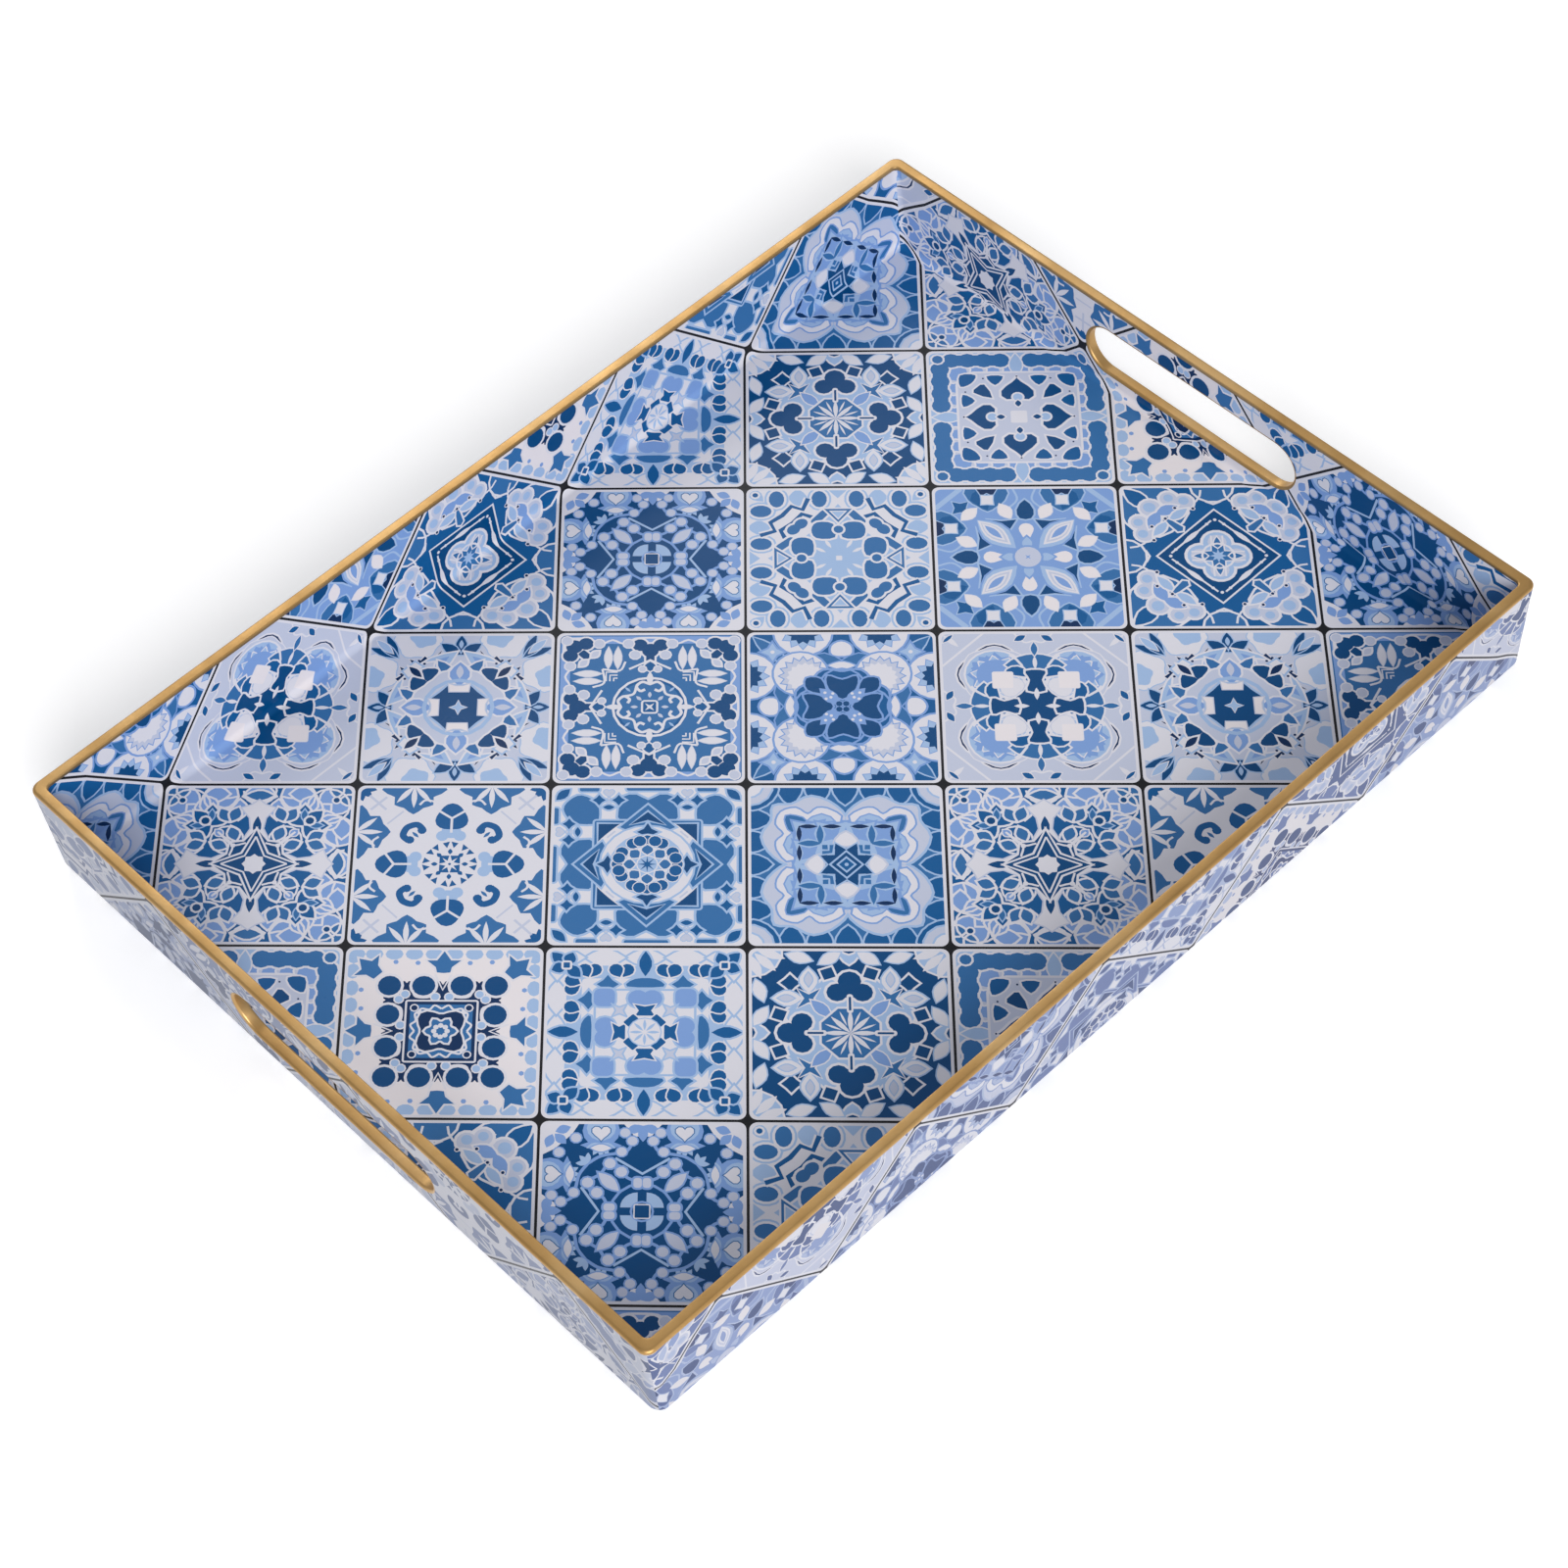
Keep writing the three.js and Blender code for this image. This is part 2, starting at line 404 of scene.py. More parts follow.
def spade_garden():
    tile = Tile(PALE)
    for x in (4.5, 13.5, 22.5, 31.5):
        tile.put(LAVENDER, disc(x + 35j, 6, steps=12), WHITE, 1)
        tile.put(CORNFLOWER, disc(x + 33.5j, 4.5, steps=12))
    bar = [disc(x + 42j, 5.2, steps=12) for x in (8.5, 17.5, 26.5, 35.5)]
    tile.merge(MID, [*bar, slab(22 + 42j, 13, 4, 1)], WHITE, 1.2)
    tile.put(MID, disc(43 + 43j, 3, steps=10), WHITE)
    tile.put(PALE, petal(30j, 47j, 7), WHITE, 0.8)
    tile.put(LAVENDER, slab(0, 32.5, 32.5, 9), WHITE, 1.3)
    tile.put(DEEP, rounded([7.5 + 30j, 16.5 + 30j, 12 + 23.5j]), WHITE, 1)
    tile.put(DEEP, rounded([22.5 + 31j, 31 + 31j, 31 + 22.5j, 25 + 25j]), WHITE, 1)
    leaf = [14 + 14j, 24 + 18j, 22 + 22j, 18 + 24j]
    tile.put(TEAL, rounded(leaf, 2), WHITE, 1)
    tile.put(TEAL, heart(19.5j, 9.2, -90), WHITE, 1.4)
    tile.put(PALE, disc(14.5j, 2.6), WHITE)
    tile.put(TEAL, petal(7.5j, 12.2j, 3.4), WHITE, 0.8)
    tile.dots(NAVY, 0.6, 30j, 18.5 + 28.5j, steps=6)
    tile.put(WHITE, slab(0, 4.5, 4.5, 1))
    return tile


def disc_medallion():
    tile = Tile(CREAM)
    for x in (5, 15, 25, 35, 44):
        tile.put(PALE, disc(x + 45.2j, 4.5, 0.75, steps=10))
    tulip = mirrored([3 + 33j, 4 + 37.5j, 8.5 + 41.5j, 3.5 + 41.5j, 47j])
    tile.put(MID, tulip, WHITE)
    tile.put(MID, [13 * spin(45) + point * spin(-45) for point in tulip], WHITE)
    tile.dots(CORNFLOWER, 1.4, 13 + 40j, 24 + 40.5j, steps=6)
    tile.put(NAVY, slab(0, 29.2, 29.2, 6))
    for place in (9.5 + 26.5j, 26.5 + 26.5j):
        tile.put(TEAL, disc(place, 5.8, steps=16), WHITE, 1.4)
    tile.put(CREAM, [4.5 + 34.5j, 34j, -4.5 + 34.5j, 27j])
    tile.line(WHITE, [4 + 33j, 24j, -4 + 33j], 1.2)
    tile.put(CREAM, petal(18 + 28j, 18 + 37j, 5))
    tile.line(WHITE, flowing([4 + 24j, 6 + 20j, 13 + 20j, 15 + 24j]), 1.1)
    tile.dots(PALE, 2, 3.5 + 20j, 18.5 + 21.5j, edge=WHITE)
    tile.put(NAVY, slab(0, 17.2, 17.2, 0.4), WHITE, 1)
    tile.put(MID, slab(0, 15.5, 15.5, 3))
    tile.put(NAVY, lobed(0, 12, 0.2, 4, 45, 7), WHITE)
    tile.line(WHITE, flowing([13j, 3.5 + 15j, 6 + 12.5j, 10 + 13j, 12 + 10j]), 1.1)
    tile.dots(NAVY, 1.6, 13.5 + 13.5j, edge=WHITE)
    tile.put(MID, lobed(0, 6.6, 0.2, 6, 0, 5), WHITE)
    tile.dots(WHITE, 1.4, 3.3j, 2.3 + 2.3j, steps=8)
    return tile


def bead_lattice():
    tile = Tile(TEAL)
    tile.put(WHITE, mirrored([49 + 49j, 30 + 49j, 34 + 42j], 1j))
    tile.rays(CORNFLOWER, 43 + 43j, 1, 9, 5, (160, 225))
    tile.put(WHITE, mirrored([10 + 49j, 4 + 41j]))
    tile.rays(CORNFLOWER, 47j, 0, 9, 5, (-90, -25))
    tile.merge(CORNFLOWER, [disc(20 + 44j, 9), petal(10 + 36j, 30 + 36j, 6)])
    tile.put(PALE, disc(20 + 45.5j, 7))
    tile.put(WHITE, heart(20 + 43j, 4.5, 90), MID, 0.5)
    tile.rays(PALE, 20 + 37j, 0, 7.5, 3.2, (200, 240, 270, 300, 340))
    branch = [4.5 + 38.5j, 7.5 + 33j, 13 + 31.5j, 20 + 30j, 26 + 26j]
    tile.line(CORNFLOWER, flowing(branch), 1.6)
    tile.dots(LAVENDER, 2.5, 5 + 38.5j, 8.5 + 43j, 10 + 32.5j, 32 + 40j, edge=CORNFLOWER)
    tile.put(WHITE, petal(15 + 34.5j, 25 + 34.5j, 4), CORNFLOWER, 0.6)
    tile.line(PALE, [13 + 29j, 20.5j, -13 + 29j], 1.4)
    branch = [3.5 + 16.5j, 8 + 19j, 10 + 24j, 16 + 25.5j, 20 + 20j]
    tile.line(CORNFLOWER, flowing(branch), 1.6)
    tile.dots(LAVENDER, 2.8, 15.5 + 26j, 10 + 21.5j, edge=CORNFLOWER, margin=0.9)
    tile.put(LAVENDER, petal(11 + 11j, 21 + 21j, 6), CORNFLOWER, 0.9)
    tile.rays(PALE, 26 + 26j, 0, 6, 2.8, (45, 90))
    tile.ring(CORNFLOWER, 0, 15, 1.4)
    tile.put(LAVENDER, slab(2.2 + 15.5j, 2, 2.7, 1.5), CORNFLOWER)
    for start in range(0, 360, 90):
        hub = 3 * spin(start + 45)
        tile.paint(PALE, [hub, *arc(hub, 8.2, start, start + 90, 6)])
    tile.ring(CORNFLOWER, 0, 5.2, 1.1)
    tile.put(TEAL, slab(0, 3.4, 3.4, 0.4), WHITE, 0.6)
    return tile


def oval_zigzag():
    tile = Tile(WHITE)
    tile.put(PALE, petal(21.5 + 36j, 21.5 + 49j, 10))
    tile.put(PALE, [6 + 49j, 42j, -6 + 49j])
    tile.put(PALE, petal(40 + 40j, 49 + 49j, 7))
    point_of_star = (38j, 13 + 20j, 20 + 13j)
    tile.put(PALE, [point * (-1j) ** quarter for quarter in range(4) for point in point_of_star])
    for x in (10, 33):
        tile.put(MID, disc(x + 41.5j, 5.8, 0.72, 90), PALE, 2.4)
        tile.put(MID, disc(x + 41.5j, 5.8, 0.72, 90), WHITE, 1.3)
    zigzag = mirrored([16 + 42j, 19 + 34j, 25 + 36.5j, 30 + 30j], 1j)
    for bar in (zigzag, [point - 5.5 - 5.5j for point in zigzag[1:-1]]):
        tile.line(WHITE, bar, 5)
        tile.line(DEEP, bar, 2.6)
    tile.put(MID, disc(20 + 24j, 4, 0.8, 135), WHITE, 1.3)
    tile.put(MID, slab(10 + 28.5j, 6, 2.2, 2, 130), WHITE, 1.3)
    fan = [2 + 14.5j, 12 + 14j, 14.5 + 20j, 11.5 + 25j, 3 + 24j]
    tile.put(MID, rounded(fan), WHITE, 1.3)
    tile.put(MID, [7.5 + 34.5j, -7.5 + 34.5j, 25j], WHITE, 1.2)
    tile.put(PALE, [3.5 + 32.5j, -3.5 + 32.5j, 28j], WHITE, 0.8)
    tile.put(MID, disc(20j, 2.6), WHITE, 1.2)
    tile.rays(WHITE, 0, 8, 15, 2, (60,))
    tile.put(WHITE, slab(0, 1.6, 1.6, 0.4))
    tile.put(DEEP, disc(44.5 + 44.5j, 1.6, steps=8), WHITE)
    return tile


def eight_petals():
    tile = Tile(CORNFLOWER)
    tile.line(PALE, [34 + 48j, 48 + 34j], 3)
    tile.line(PALE, flowing([6 + 48j, 4 + 40j, 10 + 33j]), 1.2)
    shield = [10 + 49j, 10.5 + 40j, 15 + 35.5j, 20 + 32j, 25 + 35.5j, 30 + 40j, 31 + 49j]
    tile.put(MID, rounded(shield, 2), PALE, 0.9)
    tile.put(DEEP, rounded([20 + 33j, 29 + 40j, 25 + 47j, 20 + 40j], 2))
    tile.put(NAVY, [14 + 49j, 17 + 43j, 20 + 45j, 23 + 43j, 26 + 49j], PALE, 0.6)
    tile.put(WHITE, star(20 + 40j, 4.6, 3, 4, 45), PALE, 0.6)
    tile.put(DEEP, star(34.5 + 34.5j, 6, 3, 4, 45), PALE, 0.6)
    tile.put(CREAM, petal(26 + 34j, 34 + 26j, 6.5), WHITE, 0.6)
    tile.put(CREAM, petal(8 + 27j, 13.5 + 37j, 7), WHITE, 0.6)
    tile.put(TEAL, rounded(mirrored([40j, 4.5 + 33j, 3 + 27j]), 2), PALE)
    tile.put(TEAL, [5 + 26j, 10 + 17j, 16 + 19j, 20 + 26j, 13 + 25j], PALE)
    tile.put(PALE, petal(6 + 6j, 26 + 26j, 14), CORNFLOWER)
    tile.put(LAVENDER, petal(10 + 10j, 24 + 24j, 8), WHITE)
    tile.put(CORNFLOWER, petal(13 + 13j, 22 + 22j, 4), WHITE)
    tile.put(CREAM, drop(9j, 23.5j, 8), CORNFLOWER, 1.2)
    tile.put(PALE, petal(5j, 14j, 5.5), CORNFLOWER)
    tile.put(LAVENDER, disc(0, 7, steps=18), CORNFLOWER, 1.2)
    tile.put(CORNFLOWER, star(0, 2, 0.6, 4, 45))
    return tile


def quatrefoil_frame():
    tile = Tile(DEEP)
    tile.put(MID, rounded(mirrored([30 + 14j, 47 + 24j, 46 + 46j], 1j)), WHITE, 1.3)
    tile.put(MID, disc(49j, 11), WHITE, 1.3)
    tile.line(WHITE, arc(18 + 46j, 12, -180, -20, 8), 1.2)
    tile.put(DEEP, petal(33 + 33j, 47 + 47j, 9), WHITE)
    bean = [disc(15.5 + 37.5j, 5), disc(23.5 + 40j, 4.6)]
    tile.merge(LAVENDER, bean, WHITE, 1.4)
    tile.merge(PALE, [disc(15.5 + 38.5j, 2.8), disc(23.5 + 40.5j, 2.6)])
    tile.put(LAVENDER, disc(33.5 + 33.5j, 5.6), WHITE, 1.4)
    tile.put(PALE, disc(34 + 34j, 3.4))
    tile.put(CORNFLOWER, petal(19 + 35j, 31 + 29j, 7), WHITE)
    tile.put(PALE, petal(14 + 33j, 24 + 25j, 5), WHITE)
    tile.put(MID, rounded([17 + 20j, 20 + 17j, 27 + 27j], 2), WHITE)
    tile.dots(NAVY, 0.9, 20.5 + 33.5j, 26 + 26j, 11 + 33j, edge=WHITE, margin=0.5, steps=7)
    tile.line(WHITE, [4 + 38j, 36j, -4 + 38j], 1.4)
    tile.put(WHITE, star(0, 33, 23.35, 4))
    tile.put(TEAL, star(0, 31.5, 22.3, 4))
    tile.line(WHITE, [2 + 24.5j, 24.5 + 2j], 1.1)
    tile.put(WHITE, petal(8 + 18.5j, 18.5 + 8j, 3))
    tile.dots(WHITE, 1, 25j, 4.5 + 22j, steps=7)
    tile.merge(PALE, [disc(8.8j, 7.5, steps=18), slab(0, 7, 7, 1)], WHITE, 1.6)
    tile.merge(LAVENDER, [disc(9.5j, 5, steps=14)])
    tile.rays(MID, 0, 4, 13, 3.5, (90,), WHITE)
    tile.line(WHITE, [3 + 14j, 3 + 3j, 14 + 3j], 1)
    tile.ring(WHITE, 0, 8.5, 1.2)
    tile.put(MID, star(0, 7.8, 4.5, 8, 22.5), WHITE, 0.8)
    tile.put(PALE, star(0, 4.5, 2.2, 8))
    return tile


def leaf_scrolls():
    tile = Tile(MID)
    tile.put(CORNFLOWER, slab(0, 47, 47, 2))
    tile.put(MID, slab(0, 42, 42, 2))
    wave = [46j, 8 + 45.5j, 14 + 42j, 20 + 44.5j, 26 + 42j, 33 + 45.5j, 45 + 45.5j]
    tile.line(WHITE, flowing(wave, 3), 1.2)
    trefoil = [disc(37.5j, 4.5), disc(5.5 + 41j, 4), slab(31j, 2.2, 4, 1)]
    tile.merge(TEAL, trefoil, WHITE)
    corner = [disc(40 + 40j, 4.5), disc(34 + 42j, 4), slab(34.5 + 34.5j, 3, 2.2, 0.8, 45)]
    tile.merge(TEAL, corner, WHITE)
    tile.dots(LAVENDER, 2.7, 11.5 + 42j, 8 + 34.5j, 27 + 42j, 44 + 44j, edge=WHITE)
    tile.put(LAVENDER, petal(31 + 33j, 27 + 37j, 3.5), WHITE)
    for x in (17, 22):
        tile.put(WHITE, petal(complex(x, 25), complex(x, 40), 4.2), LAVENDER, 0.4)
    tile.line(WHITE, flowing([13 + 30j, 16 + 24j, 25 + 25j]), 1.2)
    for reach in (6, 4, 2):
        chevron = [reach * 1j, reach + reach * 1j, reach]
        tile.line(WHITE, [17 + 17j + point for point in chevron], 0.9)
    tile.line(WHITE, [11 + 25j, 31j, -11 + 25j], 1.3)
    tile.put(DEEP, petal(23.5j, 30j, 6), WHITE, 0.8)
    tile.dots(LAVENDER, 1.8, 4 + 25j, edge=WHITE)
    tile.put(DEEP, disc(0, 18.5, steps=20), WHITE, 1.4)
    tile.put(MID, disc(0, 17, steps=20))
    tile.put(WHITE, petal(14j, 23.5j, 3.5))
    scroll = [15j, 4 + 16.5j, 7 + 13.5j, 5 + 10.5j, 2.5 + 11.5j]
    tile.line(WHITE, flowing(scroll), 1.6)
    tile.line(WHITE, flowing([7 + 13.5j, 8.5 + 8.5j, 13.5 + 7j]), 1.4)
    tile.put(PALE, petal(10 + 10j, 13 + 13j, 1.4))
    tile.rays(LAVENDER, 0, 6, 10, 2, (90, 45))
    tile.put(DEEP, slab(0, 3.4, 3.4, 0.8), WHITE)
    tile.put(WHITE, star(0, 3.4, 1, 4, 45))
    return tile


def fan_rosette():
    tile = Tile(DEEP)
    tile.put(WHITE, disc(20 + 49j, 15, steps=20), CORNFLOWER, 1.2)
    tile.put(PALE, star(20 + 50j, 12, 9, 12), CORNFLOWER, 0.5)
    tile.put(TEAL, star(20 + 50j, 9, 7, 12, 15))
    shield = mirrored([43j, 5 + 40j, 4.5 + 34j])
    tile.put(WHITE, rounded(shield), CORNFLOWER, 1.2)
    tile.put(MID, petal(28 + 28j, 46 + 46j, 7), PALE, 0.9)
    tile.put(PALE, star(36 + 36j, 6, 3, 4), CORNFLOWER)
    tile.dots(WHITE, 1.2, 36 + 36j, steps=7)
    tile.put(MID, rounded([30j, 9 + 35j, 15 + 32j, 8 + 27j], 2), CORNFLOWER, 0.8)
    tile.put(WHITE, disc(21.5 + 21.5j, 14, steps=22), CORNFLOWER, 1.2)
    tile.put(LAVENDER, star(20 + 20j, 12.5, 9.8, 16), CORNFLOWER, 0.6)
    tile.put(WHITE, star(19 + 19j, 10, 8.5, 16))
    tile.put(WHITE, petal(7 + 27j, -7 + 27j, 5), CORNFLOWER, 0.8)
    tile.put(DEEP, lobed(0, 24, 0.06, 8, 22.5, 7), CORNFLOWER, 1.4)
    tile.ring(CORNFLOWER, 13j, 12, 1.2)
    wing = mirrored([5j, 7 + 12j, 7.5 + 20j, 17.5j])
    tile.put(TEAL, rounded(wing), CORNFLOWER)
    tile.put(TEAL, rounded([9 + 9j, 18 + 11j, 18.5 + 18.5j, 11 + 18j]), CORNFLOWER)
    tile.put(CORNFLOWER, petal(1 + 1j, 12 + 12j, 7.5))
    tile.dots(WHITE, 0.9, 6 + 6j, 9 + 9j, 5 + 8.5j, steps=7)
    tile.put(TEAL, disc(1.8 + 1.8j, 1.7, steps=8), CORNFLOWER, 0.6)
    return tile


def four_moons():
    tile = Tile(LAVENDER)
    tile.line(WHITE, [26 + 48j, 48 + 26j], 1.2)
    tile.line(WHITE, flowing([10 + 48j, 5 + 42j, 43j]), 1)
    tile.put(DEEP, petal(4 + 46.5j, 10 + 43j, 3.5), WHITE, 0.5)
    tile.put(WHITE, petal(39 + 39j, 47 + 47j, 3))
    tile.put(DEEP, petal(42 + 47j, 46 + 43j, 2), WHITE, 0.5)
    hub = 20.5 + 20.5j
    tile.put(NAVY, disc(hub + 1.5, 18.5, 0.75, 0, 20), WHITE)
    tile.put(LAVENDER, lobed(hub, 18, 0.035, 8, 45, 5), WHITE, 0.6)
    tile.put(PALE, disc(hub, 15.5, steps=20), WHITE)
    tile.put(CORNFLOWER, star(hub + 2 * spin(90), 13, 10, 9, 90))
    tile.put(PALE, star(hub - 1, 12.5, 9, 9, 0), WHITE, 0.6)
    tile.put(CORNFLOWER, rounded([hub + 10 * spin(turn) for turn in (45, 90, 135, 225, 315, 0)]))
    tile.put(MID, [12j, *arc(14j, 20, 40, 140, 8)], WHITE, 1)
    tile.put(WHITE, petal(24j, 33j, 2.4))
    tile.line(WHITE, arc(hub, 15, 120, 330, 12), 1.4)
    tile.put(DEEP, arc(10 + 20j, 6, 10, 190, 6), WHITE, 1)
    tile.put(TEAL, lobed(0, 13, 0.14, 4, 0, 8), WHITE, 1)
    tile.put(MID, petal(33j, 42j, 3.5), WHITE, 0.6)
    barrel = [5 + 23j, -5 + 23j, -3 + 17j, -4.5 + 10j, 4.5 + 10j, 3 + 17j]
    tile.put(TEAL, rounded(barrel), WHITE, 1.2)
    tile.put(WHITE, disc(13.5 + 11j, 4.8), LAVENDER, 0.4)
    tile.put(CREAM, slab(17 + 17j, 5.2, 5.2, 0.8), WHITE, 0.4)
    tile.rays(WHITE, 0, 4, 12, 2.8, (90,))
    return tile


def woven_star():
    tile = Tile(LAVENDER)
    tile.put(WHITE, lobed(23 + 45j, 12, 0.08, 6), PALE, 0.6)
    tile.put(PALE, lobed(20 + 47j, 7, 0.1, 5))
    tile.rays(TEAL, 35j, 0, 13, 6, (90, 35), PALE)
    tile.rays(PALE, 35j, 4, 10, 2.5, (90,), TEAL)
    tile.rays(TEAL, 33 + 33j, 0, 17, 4.5, (24, 45), PALE)
    tile.put(PALE, petal(36 + 36j, 45 + 45j, 4), WHITE, 0.5)
    notched = [10 + 38j, 14 + 27j, 24 + 26j, 27 + 32j, 22 + 30j, 19 + 34j, 16 + 31j]
    tile.put(NAVY, notched, WHITE, 0.6)
    tile.put(PALE, petal(2 + 37j, 28 + 16j, 11), WHITE)
    tile.put(CORNFLOWER, petal(6 + 34j, 20 + 22j, 5))
    tile.put(LAVENDER, petal(14 + 30j, 30 + 14j, 11), WHITE)
    tile.put(WHITE, [20 + 27j, 24 + 30j, 30 + 24j, 27 + 20j], PALE)
    tile.put(TEAL, rounded([11 + 25j, 20 + 25j, 17 + 17j]), WHITE)
    tile.put(NAVY, petal(20 + 20j, 27 + 27j, 4), WHITE)
    tile.put(MID, rounded([12 + 31j, 5 + 27j, 10 + 24j], 2), WHITE)
    tile.dots(NAVY, 0.8, 19 + 29j, 22 + 31j, steps=6)
    tile.put(CORNFLOWER, petal(14j, 30j, 11), WHITE)
    tile.put(LAVENDER, petal(19j, 28j, 4))
    tile.ring(PALE, 0, 18, 2.2)
    tile.put(TEAL, star(0, 15.5, 14, 8, 22.5), PALE, 1.2)
    crown = mirrored([5 + 10.5j, 5.5 + 15.5j, 2 + 14j])
    tile.put(CREAM, crown, LAVENDER, 0.6)
    tile.put(PALE, star(0, 4.5, 1.8, 4), WHITE, 0.4)
    return tile


def lobed_blocks():
    tile = Tile(WHITE)
    tile.put(LAVENDER, heart(20 + 44.5j, 2.8, 90), PALE, 0.4)
    tile.put(LAVENDER, heart(20 + 40j, 2, -90), PALE, 0.4)
    block = mirrored([13.5 + 27j, 15 + 33j, 13 + 42j, 6 + 43.5j, 40j]) + [30j]
    tile.put(MID, rounded(block, 2), PALE, 1.3)
    corner = mirrored([25 + 28j, 26 + 38j, 34 + 43j, 40 + 40j], 1j)
    tile.put(MID, rounded(corner), PALE, 1.3)
    tile.put(MID, slab(48j, 11, 2, 1), PALE)
    tile.put(DEEP, petal(40 + 47j, 47 + 40j, 5), PALE)
    tile.put(MID, slab(30 + 47.5j, 5, 2, 1), PALE)
    for place in (15 + 40j, 25 + 40j):
        tile.put(DEEP, star(place, 3.4, 2, 4), PALE)
    tile.put(DEEP, petal(17 + 35.5j, 23 + 35.5j, 3), PALE)
    tile.put(MID, slab(0, 27, 27, 1), PALE)
    tile.put(WHITE, [29j, 12 + 25j, 25 + 12j, 29, 20, 20j], PALE, 0.9)
    tile.put(TEAL, [25 + 25j, 14 + 25j, 25 + 14j], PALE)
    tile.line(WHITE, flowing([9 + 25j, 14 + 21.5j, 21.5 + 14j, 25 + 9j]), 5.5)
    tile.line(LAVENDER, [16.5 + 20.5j, 20.5 + 16.5j], 1)
    tile.put(MID, [14 + 23j, 37j, -14 + 23j, -10 + 21j, 10 + 21j], PALE)
    tile.put(TEAL, [9 + 24.5j, 32.5j, -9 + 24.5j, 27.5j], PALE)
    tile.put(WHITE, disc(0, 23.5, steps=24), PALE)
    tile.put(TEAL, star(20j, 5.5, 2.8, 4), PALE)
    tile.put(PALE, disc(0, 19, steps=20))
    for turn in (90, 60, 75):
        tile.put(DEEP, disc(14.8 * spin(turn), 3.2, steps=11), WHITE, 0.5)
    tile.rays(MID, 0, 6, 12, 6, (90, 45), WHITE)
    tile.dots(WHITE, 1.2, 10 * spin(67.5), steps=7)
    tile.put(PALE, disc(0, 5), WHITE, 0.6)
    tile.put(DEEP, star(0, 5, 1.4, 8))
    return tile


def nested_arches():
    tile = Tile(MID)
    arch = rounded(mirrored([5 + 49j, 5.5 + 44j, 37j]), 2)
    for x in (0, 14, 28, 40):
        tile.put(DEEP, [x + point for point in arch], PALE, 1)
    tile.put(LAVENDER, disc(49 + 49j, 12), PALE)
    tile.put(WHITE, disc(49 + 49j, 7), PALE)
    lobe = mirrored([1 + 24j, 5 + 36j, 17 + 42j, 27 + 37j, 36 + 36j], 1j)
    tile.put(LAVENDER, rounded(lobe), PALE, 1.4)
    inner = [3 + 26j, 7 + 33.5j, 14 + 35j, 19 + 31j, 25 + 35j, 32.5 + 32.5j]
    tile.put(WHITE, rounded(mirrored(inner, 1j)), CORNFLOWER, 1)
    tile.put(PALE, rounded([6 + 27j, 12 + 31j, 19 + 27j], 2), CORNFLOWER, 0.8)
    block = [20 + 27j, 25 + 30j, 30 + 30j, 30 + 25j, 27 + 20j]
    tile.put(MID, rounded(block, 2), CORNFLOWER, 0.8)
    tile.put(PALE, slab(0, 25.8, 25.8, 1), CORNFLOWER, 0.6)
    tile.put(DEEP, slab(0, 24.2, 24.2, 0.5))
    for place in (19 + 19j, 7 + 18.5j):
        tile.put(PALE, star(place, 11, 5.8, 4, 45), CORNFLOWER)
        tile.put(CORNFLOWER, star(place, 6, 3, 4, 45))
    tile.put(MID, petal(13 + 12j, 13 + 24.5j, 3.6), PALE, 0.6)
    tile.put(NAVY, petal(14 + 23.5j, 24 + 23.5j, 2.6))
    tile.put(NAVY, petal(2 + 23.5j, 12 + 23.5j, 2.6))
    tile.put(MID, star(0, 17, 12, 4, 45), PALE, 1)
    tile.put(WHITE, rounded(mirrored([4.5 + 12j, 5 + 15.5j, 20j]), 2), LAVENDER)
    tile.put(TEAL, star(0, 14, 9, 8, 22.5), PALE, 0.8)
    for reach in (8.8, 6.2):
        tile.line(PALE, [reach * (1 + 1j) + point for point in (3.4j, 0, 3.4)], 1.1)
    for reach, ink in ((9, PALE), (7.6, TEAL), (5.2, PALE), (3.8, DEEP)):
        tile.put(ink, star(0, reach, reach * 0.707, 4))
    tile.put(PALE, disc(0, 1.1, steps=8))
    return tile


